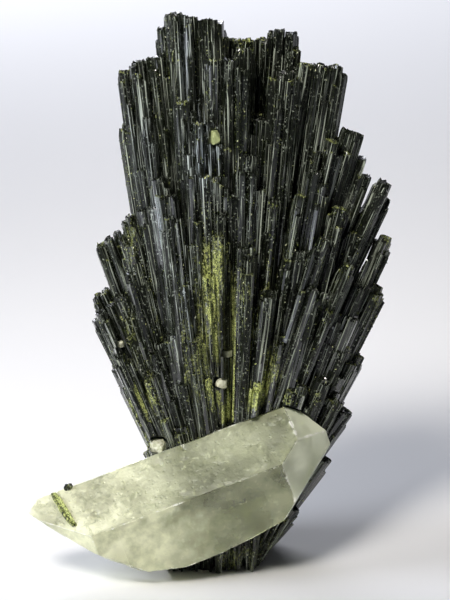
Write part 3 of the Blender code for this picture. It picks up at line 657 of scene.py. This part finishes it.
def epidoteMaterial():
    # Epidote: striated prism faces, glassy and nearly black green, with a dull yellow-green dusting of finer
    # grains in the grooves. The fine bright lines and specks along each crystal are painted highlights over
    # dark glass.
    made, tree = newMaterial("striatedEpidote")
    look = striatedLook
    place = addNode(tree, "ShaderNodeTexCoord").outputs["Object"]
    inMm = addNode(tree, "ShaderNodeMapping", {"Vector": place, "Scale": (1000, 1000, 1000)}).outputs[0]
    lines = addNode(tree, "ShaderNodeUVMap", uv_map="faceLines").outputs[0]
    shade, moss, glintPatch = [
        addNode(tree, "ShaderNodeAttribute", attribute_name=name).outputs["Fac"]
        for name in ("shade", "moss", "fresh")
    ]

    # each face is a bundle of parallel crystals, about 0.7 mm wide and 11 mm long, that end at unlike heights
    bundle = addNode(tree, "ShaderNodeMapping", {"Vector": lines, "Scale": (*look["bundles"], 1)}).outputs[0]
    member = addNode(tree, "ShaderNodeTexVoronoi", {"Vector": bundle, "Scale": 1.0}, voronoi_dimensions="2D")
    memberTones = addNode(tree, "ShaderNodeSeparateColor", {"Color": member.outputs["Color"]})
    tone, shift = memberTones.outputs[0], memberTones.outputs[1]
    # striations that break where one crystal ends. Real ones are finer: these are as coarse as the picture
    # needs to show them, 0.3 mm apart, with others of 0.15 mm between.
    apart = addNode(tree, "ShaderNodeCombineXYZ", {0: shift, 1: tone}).outputs[0]
    moved = addNode(tree, "ShaderNodeVectorMath", {0: apart, "Scale": 23.0}, operation="SCALE").outputs[0]
    broken = addNode(tree, "ShaderNodeVectorMath", {0: lines, 1: moved}, operation="ADD").outputs[0]
    wide = addNode(tree, "ShaderNodeMapping", {"Vector": broken, "Scale": (*look["striae"], 1)}).outputs[0]
    fine = addNode(tree, "ShaderNodeMapping", {"Vector": broken, "Scale": (*look["hairs"], 1)}).outputs[0]
    striae = addNode(tree, "ShaderNodeTexNoise", {"Vector": wide, "Scale": 1.0, "Detail": 2.0}).outputs[0]
    hairs = addNode(tree, "ShaderNodeTexNoise", {"Vector": fine, "Scale": 1.0, "Detail": 1.0}).outputs[0]
    grit, broad, dust = [
        addNode(tree, "ShaderNodeTexNoise", {
            "Vector": inMm, "Scale": look[name], "Detail": detail,
        }).outputs[0]
        for name, detail in (("grit", 3.0), ("areas", 2.0), ("dust", 2.0))
    ]
    # painted highlight specks, 0.2 mm across, where broken ends of finer crystals would catch the light
    cells = addNode(tree, "ShaderNodeTexVoronoi", {"Vector": inMm, "Scale": look["brokenEnds"]})
    cellTone = addNode(tree, "ShaderNodeSeparateColor", {"Color": cells.outputs["Color"]}).outputs[0]
    speckled = addNode(tree, "ShaderNodeMath", {
        0: broad, 1: 0.25, 2: cellTone,
    }, operation="MULTIPLY_ADD").outputs[0]
    highlightSpecks = addNode(tree, "ShaderNodeMapRange", {
        0: speckled, "From Min": 1.05, "From Max": 1.12, "To Max": 0.6,
    }).outputs[0]

    # dark glass with a little dust on it, and painted highlights: pale lines and specks
    dusty = addNode(tree, "ShaderNodeMapRange", {0: dust, "From Min": 0.60, "From Max": 0.74}).outputs[0]
    clear = addNode(tree, "ShaderNodeMix", {
        "Factor": shade, 6: linear(look["dark"][0]), 7: linear(look["dark"][1]),
    }, data_type="RGBA").outputs[2]
    dark = addNode(tree, "ShaderNodeMix", {
        "Factor": dusty, 6: clear, 7: linear(look["dusty"]),
    }, data_type="RGBA").outputs[2]
    # on the glint patches more of each line is painted pale, and bluish white, as a painted reflection
    lifted = addNode(tree, "ShaderNodeMath", {
        0: glintPatch, 1: look["glintPatchLines"], 2: striae,
    }, operation="MULTIPLY_ADD").outputs[0]
    rising = addNode(tree, "ShaderNodeMath", {
        0: tone, 1: look["bundlesDiffer"], 2: lifted,
    }, operation="MULTIPLY_ADD").outputs[0]
    paintedHighlight = addNode(tree, "ShaderNodeMix", {
        "Factor": glintPatch, 6: linear(look["paintedHighlight"][0]), 7: linear(look["paintedHighlight"][1]),
    }, data_type="RGBA").outputs[2]
    # the striation lines and fine hairs that are painted pale, as highlights
    striaHighlightMask, hairHighlightMask = [
        addNode(tree, "ShaderNodeMapRange", {0: pattern, "From Min": low, "From Max": high}).outputs[0]
        for pattern, (low, high) in ((rising, look["striaeFrom"]), (hairs, look["hairsFrom"]))
    ]
    lineHighlightMask = addNode(tree, "ShaderNodeMath", {0: striaHighlightMask, 1: hairHighlightMask}, operation="MAXIMUM").outputs[0]
    paintedHighlightMask = addNode(tree, "ShaderNodeMath", {0: lineHighlightMask, 1: highlightSpecks}, operation="MAXIMUM").outputs[0]
    glassWithHighlights = addNode(tree, "ShaderNodeMix", {
        "Factor": paintedHighlightMask, 6: dark, 7: paintedHighlight,
    }, data_type="RGBA").outputs[2]

    # yellow-green dusting
    streaky = addNode(tree, "ShaderNodeMapping", {"Vector": inMm, "Scale": look["streaks"]}).outputs[0]
    streaks = addNode(tree, "ShaderNodeTexNoise", {"Vector": streaky, "Scale": 1.0, "Detail": 4.0}).outputs[0]
    patchy = addNode(tree, "ShaderNodeMath", {0: grit, 1: streaks}, operation="MULTIPLY").outputs[0]
    dusted = addNode(tree, "ShaderNodeMath", {0: patchy, 1: moss}, operation="MULTIPLY").outputs[0]
    dusting = addNode(tree, "ShaderNodeMapRange", {
        0: dusted, "From Min": look["mossFrom"][0], "From Max": look["mossFrom"][1],
    }).outputs[0]
    grains = addNode(tree, "ShaderNodeMapRange", {0: dust, "From Min": 0.36, "From Max": 0.66}).outputs[0]
    mossColour = addNode(tree, "ShaderNodeMix", {
        "Factor": grains, 6: linear(look["moss"][0]), 7: linear(look["moss"][1]),
    }, data_type="RGBA").outputs[2]
    colour = addNode(tree, "ShaderNodeMix", {
        "Factor": dusting, 6: glassWithHighlights, 7: mossColour,
    }, data_type="RGBA").outputs[2]

    glossy = addNode(tree, "ShaderNodeMapRange", {
        0: shift, "To Min": look["roughness"][0], "To Max": look["roughness"][1],
    }).outputs[0]
    rough = addNode(tree, "ShaderNodeMix", {
        "Factor": dusting, 2: glossy, 3: look["mossRoughness"],
    }).outputs[0]
    # the freshest crystals shine most
    clean = addNode(tree, "ShaderNodeMapRange", {0: shift, "From Min": 0.36, "From Max": 0.2}).outputs[0]
    bare = addNode(tree, "ShaderNodeMath", {0: 1.0, 1: dusting}, operation="SUBTRACT").outputs[0]
    shine = addNode(tree, "ShaderNodeMath", {0: clean, 1: bare}, operation="MULTIPLY").outputs[0]
    memberBump = addNode(tree, "ShaderNodeBump", {
        "Height": tone, "Distance": look["bundleStep"], "Strength": 1.0,
    }).outputs[0]
    lineBump = addNode(tree, "ShaderNodeBump", {
        "Height": striae, "Distance": look["striaDepth"], "Strength": 1.0, "Normal": memberBump,
    }).outputs[0]
    bump = addNode(tree, "ShaderNodeBump", {
        "Height": grit, "Distance": look["gritDepth"], "Strength": 1.0, "Normal": lineBump,
    }).outputs[0]
    shader = addNode(tree, "ShaderNodeBsdfPrincipled", {
        "Base Color": colour, "Roughness": rough, "IOR": look["ior"],
        "Specular IOR Level": look["specular"], "Normal": bump,
        "Coat Weight": shine, "Coat Roughness": look["shineRoughness"], "Coat IOR": look["ior"],
    })
    addNode(tree, "ShaderNodeOutputMaterial", {"Surface": shader.outputs[0]})
    return made


def setRamp(ramp, stops):
    elements = ramp.color_ramp.elements
    while len(elements) < len(stops):
        elements.new(0.5)
    for element, (place, colour) in zip(elements, stops):
        element.position = place
        element.color = linear(colour)


# From the darkest crystal to the palest
# for the needles, random tone, with the palest tones painted highlights: thin bright lines standing in for
# light along them
needleTonesAndHighlights = [(0.0, "#10130c"), (0.55, "#1e2217"), (0.85, "#5d6456"), (1.0, "#a7ad9c")]
crustTones = [(0.0, "#29320f"), (0.5, "#47541b"), (0.8, "#7c883a"), (0.93, "#c4cb7e"), (1.0, "#eceed0")]


def needleMaterial():
    # Epidote needles: too thin for striations to show, each glassy, from black green to olive, with the
    # palest painted grey as highlights
    made, tree = newMaterial("epidoteNeedles")
    shade = addNode(tree, "ShaderNodeAttribute", attribute_name="shade").outputs["Fac"]
    ramp = addNode(tree, "ShaderNodeValToRGB", {"Fac": shade})
    setRamp(ramp, needleTonesAndHighlights)
    rough = addNode(tree, "ShaderNodeMapRange", {0: shade, "To Min": 0.35, "To Max": 0.12}).outputs[0]
    shader = addNode(tree, "ShaderNodeBsdfPrincipled", {
        "Base Color": ramp.outputs[0], "Roughness": rough, "IOR": striatedLook["ior"],
    })
    addNode(tree, "ShaderNodeOutputMaterial", {"Surface": shader.outputs[0]})
    return made


def crustMaterial():
    # Fine-grained epidote crust: tiny yellow-green crystals, duller than the big faces
    made, tree = newMaterial("epidoteCrust")
    shade = addNode(tree, "ShaderNodeAttribute", attribute_name="shade").outputs["Fac"]
    ramp = addNode(tree, "ShaderNodeValToRGB", {"Fac": shade})
    setRamp(ramp, crustTones)
    shader = addNode(tree, "ShaderNodeBsdfPrincipled", {
        "Base Color": ramp.outputs[0], "Roughness": 0.38, "IOR": striatedLook["ior"],
    })
    addNode(tree, "ShaderNodeOutputMaterial", {"Surface": shader.outputs[0]})
    return made


# Quartz
quartz = {
    "rise": 19.4, "yaw": 7.0,  # how the axis climbs and turns, in degrees
    "roll": 50.7,  # how far the upper front face looks up
    "chamfer": 0.14, "finest": 0.9,  # the worn edges' width, and the longest side of a face
    "wave": 0.05, "waveSize": 7.0, "ripple": 0.02, "rippleSize": 2.2,  # how uneven the faces are
    "pitDepth": 0.16, "pitSize": 1.6, "pitAreas": 5.0, "pitLevel": 0.35,  # etch pits on the upper front face
    "space": (1.012, 12.0),  # its pocket in the fan, as a factor on its size, and how far it is open in front
    "room": 0.5,  # no needle or crust grows within this distance
}


def quartzAxes():
    # the crystal's own directions in the specimen, as columns: along its axis, and the two across it
    turn = Matrix.Rotation(math.radians(quartz["yaw"]), 3, "Z")
    rise = Matrix.Rotation(math.radians(-quartz["rise"]), 3, "Y")
    return np.array(turn @ rise)


def upperFaceNormal():
    around = math.radians(-90.0 + quartz["roll"])
    return quartzAxes() @ np.array([0.0, math.sin(around), math.cos(around)])


def nodeCorners(name, scale=1.0):
    # the node's corners in the frame, moved out from its middle by this factor
    corners = np.array([v.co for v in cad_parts[name].data.vertices])
    corners = np.unique(np.round(corners / mm, 3), axis=0) * mm
    return corners.mean(0) + (corners - corners.mean(0)) * scale


def hulls(name, groups):
    # one convex shell round each group of corners
    bm = bmesh.new()
    for corners in groups:
        verts = [bm.verts.new(corner) for corner in corners]
        bmesh.ops.convex_hull(bm, input=verts)
        bmesh.ops.delete(bm, geom=[v for v in bm.verts if not v.link_faces], context="VERTS")
    bmesh.ops.recalc_face_normals(bm, faces=bm.faces)
    data = bpy.data.meshes.new(name)
    bm.to_mesh(data)
    bm.free()
    return data


def openSpace(name, scale, reach):
    # the node's form, drawn out towards the front, where nothing of the fan stands before it
    corners = nodeCorners(name, scale)
    return np.concatenate([corners, corners + np.array([0.0, -0.970, 0.242]) * reach * mm])


def smoothNoise(points, size, seed):
    # a smooth random value at each point, with bumps of about this size in millimetres
    chance = np.random.default_rng(seed)
    total = np.zeros(len(points))
    for _ in range(9):
        direction = chance.normal(size=3)
        direction *= chance.uniform(0.6, 1.6) * 2 * np.pi / size / np.linalg.norm(direction)
        total += np.sin(points @ direction + chance.uniform(0, 2 * np.pi))
    return total / 3.0


def keepRoom(data, hull, room):
    # attributes for the scattering: nothing grows within this distance of the quartz
    points = meshPoints(data)
    away = np.full(len(points), -1e9)
    for face in hull.polygons:
        away = np.maximum(away, (points - np.array(face.center) / mm) @ np.array(face.normal))
    free = np.clip((away - room) / 0.5, 0, 1) * (points[:, 2] > 0.4)  # and nothing at the very foot
    setFloats(data, "needleRoom", free * np.clip(getFloats(data, "tipRoom") / 2.0 - 1.0, 0, 1))
    setFloats(data, "crustRoom", free * getFloats(data, "moss"))


def buildQuartz():
    data = hulls("quartzCrystal", [nodeCorners("quartz_crystal")])
    bm = bmesh.new()
    bm.from_mesh(data)
    bmesh.ops.dissolve_limit(bm, angle_limit=math.radians(0.6), verts=bm.verts, edges=bm.edges)
    quartzFlats = [
        {"normal": np.array(f.normal), "centre": np.array(f.calc_center_median()) / mm}
        for f in bm.faces if f.calc_area() > 2e-6
    ]
    bmesh.ops.bevel(
        bm, geom=bm.edges[:], offset=quartz["chamfer"] * mm, segments=1, affect="EDGES", clamp_overlap=True
    )
    bmesh.ops.triangulate(bm, faces=bm.faces)
    for _ in range(7):
        long = [e for e in bm.edges if e.calc_length() > quartz["finest"] * mm]
        if not long:
            break
        bmesh.ops.subdivide_edges(bm, edges=long, cuts=1)
        bmesh.ops.triangulate(bm, faces=bm.faces)
    bmesh.ops.recalc_face_normals(bm, faces=bm.faces)
    bm.to_mesh(data)
    bm.free()
    points = meshPoints(data)
    normals = np.empty(points.size)
    data.vertex_normals.foreach_get("vector", normals)
    normals = normals.reshape(-1, 3)
    own = (points - points.mean(0)) @ quartzAxes()
    upper = np.clip((normals @ upperFaceNormal() - 0.90) / 0.08, 0, 1)
    wave = quartz["wave"] * smoothNoise(points, quartz["waveSize"], 1)
    wave += quartz["ripple"] * smoothNoise(points, quartz["rippleSize"], 2)
    etched = smoothNoise(points, quartz["pitSize"], 4) * smoothNoise(points, quartz["pitAreas"], 6)
    pits = np.maximum(etched - quartz["pitLevel"], 0) * upper
    points += normals * (wave - quartz["pitDepth"] * pits)[:, None]
    data.vertices.foreach_set("co", (points * mm).ravel())
    # where it is frosted or milky: the upper front face, the left half, the right point and the underside
    left = 1 / (1 + np.exp((own[:, 0] + 5.0) / 3.0))
    point = np.clip((normals @ quartzAxes()[:, 0] - 0.3) / 0.1, 0, 1)
    setFloats(data, "frost", np.maximum.reduce([upper, 0.7 * left, 0.8 * point]))
    under = np.clip((-normals @ quartzAxes()[:, 2] - 0.5) / 0.3, 0, 1)
    under *= np.clip((6.0 - own[:, 0]) / 6.0, 0, 1)
    lowLeft = 1 / (1 + np.exp((own[:, 0] - 1.0) / 2.0))
    milky = [upper * (0.38 + 0.42 * left), 0.95 * lowLeft * (1 - upper), 0.8 * point, 0.8 * under]
    setFloats(data, "haze", np.maximum(np.maximum.reduce(milky), 0.32))
    setFloats(data, "upper", upper)
    setFloats(data, "left", left)
    setFloats(data, "point", point)
    # the edges, from how near each point lies to a second face
    inside = np.stack([
        (flat["centre"] - points) @ flat["normal"] for flat in quartzFlats
    ])
    setFloats(data, "edge", np.exp(-np.maximum(np.sort(inside, 0)[1], 0) / 0.4))
    data.shade_smooth()
    data.set_sharp_from_angle(angle=math.radians(18))
    data.update()
    return data


paleQuartzLook = {
    "clouds": 0.16, "etch": 1.3, "pits": 1.1, "growthMarks": 0.55, "deepClouds": 0.28,  # per mm
    # edge: the white of chipped edges, and of the painted highlight along every edge
    "body": "#d6dab6", "left": "#eeefca", "point": "#e3e8cd", "stain": "#949b72", "edge": "#f6f7ea",
    "roughness": (0.03, 0.42), "ior": 1.544, "tint": "#e4e9b8", "absorption": 34.0,
    "pitDepth": 0.12 * mm,
}


def quartzMaterial():
    # Quartz: natural crystal faces, glass clear where they are fresh and frosted where they were etched, with
    # a pale yellow-green tint from fine epidote in it
    made, tree = newMaterial("paleGreenQuartz")
    look = paleQuartzLook
    place = addNode(tree, "ShaderNodeTexCoord").outputs["Object"]
    inMm = addNode(tree, "ShaderNodeMapping", {"Vector": place, "Scale": (1000, 1000, 1000)}).outputs[0]
    frost, upper, left, edge, point, haze = [
        addNode(tree, "ShaderNodeAttribute", attribute_name=name).outputs["Fac"]
        for name in ("frost", "upper", "left", "edge", "point", "haze")
    ]
    cloud, etch = [
        addNode(tree, "ShaderNodeTexNoise", {"Vector": inMm, "Scale": look[name], "Detail": 5.0}).outputs[0]
        for name in ("clouds", "etch")
    ]
    pits = addNode(tree, "ShaderNodeTexVoronoi", {"Vector": inMm, "Scale": look["pits"]}).outputs["Distance"]
    pitMask = addNode(tree, "ShaderNodeMapRange", {0: pits, "From Min": 0.08, "From Max": 0.25}).outputs[0]
    # growth marks run across the upper face, and olive stains gather in them
    flow = addNode(tree, "ShaderNodeTexNoise", {
        "Vector": inMm, "Scale": look["growthMarks"], "Detail": 6.0, "Roughness": 0.65, "Distortion": 1.5,
    }).outputs[0]
    stains = addNode(tree, "ShaderNodeMapRange", {
        0: flow, "From Min": 0.50, "From Max": 0.72, "To Max": 0.75,
    }).outputs[0]
    # deeper olive clouds of fine epidote show through the other faces, and few of them at the point
    deep = addNode(tree, "ShaderNodeTexNoise", {
        "Vector": inMm, "Scale": look["deepClouds"], "Detail": 6.0, "Roughness": 0.6,
    }).outputs[0]
    calm = addNode(tree, "ShaderNodeMapRange", {0: point, "To Min": 0.65, "To Max": 0.12}).outputs[0]
    clouds = addNode(tree, "ShaderNodeMapRange", {
        0: deep, "From Min": 0.45, "From Max": 0.66, "To Max": calm,
    }).outputs[0]
    stained = addNode(tree, "ShaderNodeMix", {"Factor": upper, 2: clouds, 3: stains}).outputs[0]
    # ragged, whitish chipped edges, and a thin painted highlight along every edge
    chipped = addNode(tree, "ShaderNodeMath", {0: edge, 1: etch}, operation="MULTIPLY").outputs[0]
    ragged = addNode(tree, "ShaderNodeMapRange", {0: chipped, "From Min": 0.42, "From Max": 0.54}).outputs[0]
    edgeHighlight = addNode(tree, "ShaderNodeMapRange", {
        0: edge, "From Min": 0.85, "From Max": 1.0, "To Max": 0.65,
    }).outputs[0]
    chippedAndHighlightedEdges = addNode(tree, "ShaderNodeMath", {0: ragged, 1: edgeHighlight}, operation="MAXIMUM").outputs[0]
    colour = linear(look["body"])
    for mask, name in ((left, "left"), (point, "point"), (stained, "stain"), (chippedAndHighlightedEdges, "edge")):
        colour = addNode(tree, "ShaderNodeMix", {
            "Factor": mask, 6: colour, 7: linear(look[name]),
        }, data_type="RGBA").outputs[2]
    rough = addNode(tree, "ShaderNodeMapRange", {
        0: frost, "To Min": look["roughness"][0], "To Max": look["roughness"][1],
    }).outputs[0]
    # milky clouds and specks, and whitish edges, let less light through
    patches = addNode(tree, "ShaderNodeMapRange", {
        0: cloud, "From Min": 0.38, "From Max": 0.62, "To Min": 0.6, "To Max": 1.3,
    }).outputs[0]
    inner = addNode(tree, "ShaderNodeMath", {0: haze, 1: patches}, operation="MULTIPLY").outputs[0]
    most = addNode(tree, "ShaderNodeMapRange", {0: upper, "To Min": 0.1, "To Max": 0.35}).outputs[0]
    speckle = addNode(tree, "ShaderNodeMapRange", {
        0: etch, "From Min": 0.58, "From Max": 0.70, "To Max": most,
    }).outputs[0]
    speckled = addNode(tree, "ShaderNodeMath", {0: inner, 1: speckle}, operation="ADD").outputs[0]
    clouded = addNode(tree, "ShaderNodeMath", {
        0: chippedAndHighlightedEdges, 1: 0.6, 2: speckled,
    }, operation="MULTIPLY_ADD").outputs[0]
    clear = addNode(tree, "ShaderNodeMapRange", {0: clouded, "To Min": 1.0, "To Max": 0.0}).outputs[0]
    height = addNode(tree, "ShaderNodeMath", {0: etch, 1: pitMask}, operation="MULTIPLY").outputs[0]
    onUpper = addNode(tree, "ShaderNodeMath", {0: height, 1: upper}, operation="MULTIPLY").outputs[0]
    bump = addNode(tree, "ShaderNodeBump", {
        "Height": onUpper, "Distance": look["pitDepth"], "Strength": 1.0,
    }).outputs[0]
    shader = addNode(tree, "ShaderNodeBsdfPrincipled", {
        "Base Color": colour, "Roughness": rough, "IOR": look["ior"], "Transmission Weight": clear,
        "Normal": bump,
    })
    tint = addNode(tree, "ShaderNodeVolumeAbsorption", {
        "Color": linear(look["tint"]), "Density": look["absorption"],
    })
    addNode(tree, "ShaderNodeOutputMaterial", {"Surface": shader.outputs[0], "Volume": tint.outputs[0]})
    return made


# Blade and chip on the quartz: how many laths, the least and most dusting, and the seed
lath = {
    "blade": {"count": 5, "dusting": (0.3, 1.6), "seed": 2},
    "chip": {"count": 4, "dusting": (0.1, 0.5), "seed": 6},
}


def nodeAxes(name):
    # middle, directions and sizes of a box-shaped node, longest first
    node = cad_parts[name].data
    corners = np.unique(np.round(np.array([v.co for v in node.vertices]) / mm, 4), axis=0)
    middle = corners.mean(0)
    _, _, axes = np.linalg.svd(corners - middle)
    sizes = np.ptp((corners - middle) @ axes.T, axis=0)
    return middle, axes, sizes


def buildLaths(name, kind):
    # a few thin laths side by side, in the box of this node
    middle, axes, sizes = nodeAxes(name)
    count = kind["count"]
    chance = np.random.default_rng(kind["seed"])
    along, across, deep = axes
    deep = np.cross(along, across)
    shift = chance.uniform(-0.34, 0.34, (count, 2)) * sizes[1:]
    reach = sizes[0] * chance.uniform(0.75, 1.0, count)
    tip = middle + along * (reach / 2)[:, None] + across * shift[:, :1] + deep * shift[:, 1:]
    frames = [np.repeat(axis[None], count, axis=0) for axis in (across, deep, along)]
    outline = crystalOutline(chance, count, 8, 0.3, 0.05)
    outline *= (sizes[1] * chance.uniform(0.6, 1.0, count))[:, None, None]
    fullness = np.array([0.45, 0.9, 1, 1, 1, 0.9, 0.45])  # at each ring, from one end to the other
    stations = reach[:, None] * np.linspace(0, 1, len(fullness))
    swell = chance.uniform(0.75, 1.1, stations.shape) * fullness
    rim = chance.uniform(-0.2, 0.2, outline.shape[:2])
    wander = np.cumsum(chance.uniform(-0.05, 0.05, (*stations.shape, 2)), 1)
    points = growBars(tip, frames, stations, wander, outline, swell, rim, None)
    each = points.shape[1]
    attributes = {
        "shade": perPoint(chance.random(count), each),
        "moss": perPoint(chance.uniform(*kind["dusting"], count), each),
    }
    return barMesh(name, points, stations, outline, attributes)


# Feldspar grains

grain = {
    "space": (1.3, 4.0),  # the pocket round it, as a factor on its size, and how far it is open to the front
    "cuts": 7, "cutAt": (0.45, 0.62),  # planes that it broke along, and their distance in shares of its size
    "chamfer": 0.07, "uneven": 0.035,
    "tones": [(0.3, "#a9aa84"), (0.55, "#dfdfca"), (0.8, "#f0efe4")], "green": "#bcc68c",
}

# Each grain's size in shares of the frame's, across, in depth and upright, and how green it is
grainLook = {
    "feldspar_grain_foot": ((0.85, 0.9, 0.85), 0.1),
    "feldspar_grain_centre": ((0.8, 0.9, 0.85), 0.15),
    "feldspar_grain_centre_small": ((0.85, 0.9, 0.8), 0.2),
    "feldspar_grain_left": ((0.8, 0.9, 0.9), 0.1),
    "feldspar_grain_upper": ((0.62, 0.9, 0.95), 1.0),
}


def buildGrain(name, seed):
    # a cleaved grain: a box with its corners broken off along flat planes, and small steps
    low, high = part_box(name)
    chance = random.Random(seed)
    share, green = grainLook[name]
    middle = (low + high) / 2
    size = Vector([s * (b - a) for s, a, b in zip(share, low, high)])
    bm = bmesh.new()
    bmesh.ops.create_cube(bm, size=1.0)
    bmesh.ops.bevel(bm, geom=bm.edges[:], offset=grain["chamfer"], segments=1, affect="EDGES")
    for _ in range(grain["cuts"]):
        aim = Vector([chance.uniform(-1, 1) for _ in range(3)]).normalized()
        cut = bmesh.ops.bisect_plane(
            bm, geom=bm.verts[:] + bm.edges[:] + bm.faces[:], dist=1e-5,
            plane_co=aim * chance.uniform(*grain["cutAt"]), plane_no=aim, clear_outer=True,
        )
        rim = [part for part in cut["geom_cut"] if isinstance(part, bmesh.types.BMEdge)]
        if rim:
            bmesh.ops.contextual_create(bm, geom=rim)
    bmesh.ops.triangulate(bm, faces=bm.faces)
    bmesh.ops.subdivide_edges(bm, edges=bm.edges, cuts=2, use_grid_fill=True)
    for vert in bm.verts:
        vert.co *= 1.0 + chance.uniform(-grain["uneven"], grain["uneven"])
    turn = Matrix.Rotation(chance.uniform(0, 1.5), 4, "Z")
    smallest = min(size)
    bmesh.ops.transform(bm, matrix=turn, verts=bm.verts)
    for vert in bm.verts:
        vert.co = middle + Vector([c * (0.75 * s + 0.25 * smallest) * 1.1 for c, s in zip(vert.co, size)])
    bmesh.ops.recalc_face_normals(bm, faces=bm.faces)
    data = bpy.data.meshes.new(name)
    bm.to_mesh(data)
    bm.free()
    setFloats(data, "green", np.full(len(data.vertices), green))
    return data


def feldsparMaterial():
    # Feldspar: a broken white grain, milky with a soft gloss on its cleavage faces
    made, tree = newMaterial("milkyFeldspar")
    place = addNode(tree, "ShaderNodeTexCoord").outputs["Object"]
    inMm = addNode(tree, "ShaderNodeMapping", {"Vector": place, "Scale": (1000, 1000, 1000)}).outputs[0]
    cloud = addNode(tree, "ShaderNodeTexNoise", {"Vector": inMm, "Scale": 2.0, "Detail": 3.0}).outputs[0]
    ramp = addNode(tree, "ShaderNodeValToRGB", {"Fac": cloud})
    setRamp(ramp, grain["tones"])
    green = addNode(tree, "ShaderNodeAttribute", attribute_name="green").outputs["Fac"]
    colour = addNode(tree, "ShaderNodeMix", {
        "Factor": green, 6: ramp.outputs[0], 7: linear(grain["green"]),
    }, data_type="RGBA").outputs[2]
    bump = addNode(tree, "ShaderNodeBump", {"Height": cloud, "Distance": 0.05 * mm}).outputs[0]
    shader = addNode(tree, "ShaderNodeBsdfPrincipled", {
        "Base Color": colour, "Roughness": 0.35, "IOR": 1.53, "Normal": bump,
    })
    addNode(tree, "ShaderNodeOutputMaterial", {"Surface": shader.outputs[0]})
    return made


# Build the pieces
layout = layOutFan()
print(len(layout), "main crystals")
epidote = epidoteMaterial()
columns = newObject("fanColumns", buildColumns("fanColumns", layout, column), epidote)
companions = newObject("companions", buildColumns("companions", layOutCompanions(layout), companion), epidote)
sideCrystals = newObject("sideCrystals", buildSideCrystals(layout), epidote)
print("columns, companions and side crystals grown")

grainNames = sorted(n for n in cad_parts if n.startswith("feldspar_grain"))
quartzSpace = openSpace("quartz_crystal", *quartz["space"])
grainSpaces = [openSpace(name, *grain["space"]) for name in grainNames]
quartzRoom = hulls("quartzRoom", [quartzSpace])
pocket = newObject("pockets", hulls("pockets", [quartzSpace, *grainSpaces]))
for piece in (columns, companions, sideCrystals):
    cut = piece.modifiers.new("pocket", "BOOLEAN")
    cut.operation = "DIFFERENCE"
    cut.solver = "MANIFOLD"
    cut.object = pocket
    plainMesh(piece)
    keepRoom(piece.data, quartzRoom, quartz["room"])
bpy.data.objects.remove(pocket)
print("pockets cut:", [len(piece.data.polygons) for piece in (columns, companions, sideCrystals)])

scatter = scatterTree()
needles = scatterOver(sideCrystals, "needles", scatter, {**needle, "Finish": needleMaterial()})
crustFinish = crustMaterial()
crusts = [
    scatterOver(base, name, scatter, {**crust, "Density": crustDensity[name], "Finish": crustFinish})
    for base, name in ((columns, "mossCrust"), (companions, "mossOnCompanions"))
]
fanPieces = [columns, companions, sideCrystals, needles, *crusts]
for piece in fanPieces:
    piece.data.calc_loop_triangles()
    print(piece.name, len(piece.data.loop_triangles), "triangles")

quartzPiece = newObject("quartzCrystal", buildQuartz(), quartzMaterial())
blade = newObject("bladeAcrossQuartz", buildLaths("epidote_blade", lath["blade"]), epidote)
chip = newObject("chipOnQuartz", buildLaths("epidote_chip", lath["chip"]), epidote)
feldspar = feldsparMaterial()
grains = {
    name: newObject(name.replace("feldspar_grain", "feldsparGrain"), buildGrain(name, n + 1), feldspar)
    for n, name in enumerate(grainNames)
}
print("quartz, blade, chip and", len(grains), "grains made")

for piece in fanPieces:
    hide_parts("epidote_fan")
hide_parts("quartz_crystal")
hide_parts("epidote_blade")
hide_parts("epidote_chip")
for name, piece in grains.items():
    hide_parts(name)
for piece in (*fanPieces, quartzPiece, blade, chip, *grains.values()):
    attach(piece, "root")


# Studio: a pale floor, a warm key light high in front on the left, a cool window light on the left, and a
# broad light far behind that brightens the floor there
studio = {
    "floorSize": 6.0,  # in metres
    "floor": "#f2f2f2", "air": "#eef1fa", "airStrength": 0.06,
    "target": (1.93, 4.46, 39.7), "elevation": 14.0, "distance": 600.0, "lens": 240.0,  # the camera's, in mm
}

# Each light's place, size, power, colour, the place it is aimed at, and how wide it spreads in degrees
studioLights = {
    "key": ((-150, -330, 400), 170, 0.15, "#fffaf4", (0, 95, 10), 34),
    "window": ((-390, -110, 220), 230, 0.75, "#ebf1ff", (-260, -80, 0), 90),
    "backLight": ((-200, 780, 400), 420, 2.0, "#f2f4fd", (-40, 475, 0), 110),
}


def areaLight(name, place, size, power, colour, target, spread):
    lamp = bpy.data.lights.new(name, "AREA")
    lamp.size = size * mm
    lamp.energy = power
    lamp.color = linear(colour)[:3]
    lamp.spread = math.radians(spread)
    made = newObject(name, lamp)
    made.location = Vector(place) * mm
    aim = Vector(target) * mm - made.location
    made.rotation_euler = aim.to_track_quat("-Z", "Y").to_euler()


def buildStudio():
    bm = bmesh.new()
    bmesh.ops.create_grid(bm, x_segments=1, y_segments=1, size=studio["floorSize"] / 2)
    data = bpy.data.meshes.new("floor")
    bm.to_mesh(data)
    bm.free()
    paper, tree = newMaterial("matPaper")
    shader = addNode(tree, "ShaderNodeBsdfPrincipled", {
        "Base Color": linear(studio["floor"]), "Roughness": 0.8, "Specular IOR Level": 0.2,
    })
    addNode(tree, "ShaderNodeOutputMaterial", {"Surface": shader.outputs[0]})
    newObject("floor", data, paper)

    for name, values in studioLights.items():
        areaLight(name, *values)
    world = bpy.data.worlds.new("studioAir")
    bpy.context.scene.world = world
    world.use_nodes = True
    background = world.node_tree.nodes["Background"]
    background.inputs["Color"].default_value = linear(studio["air"])
    background.inputs["Strength"].default_value = studio["airStrength"]

    lens = bpy.data.cameras.new("camera")
    lens.lens = studio["lens"]
    lens.sensor_fit = "VERTICAL"
    lens.sensor_height = 36.0
    lens.clip_start = 0.01
    camera = newObject("camera", lens)
    rise = math.radians(studio["elevation"])
    back = Vector((0, -math.cos(rise), math.sin(rise)))
    camera.location = (Vector(studio["target"]) + back * studio["distance"]) * mm
    camera.rotation_euler = back.to_track_quat("Z", "Y").to_euler()
    bpy.context.scene.camera = camera
    bpy.context.scene.view_settings.view_transform = "Standard"


buildStudio()
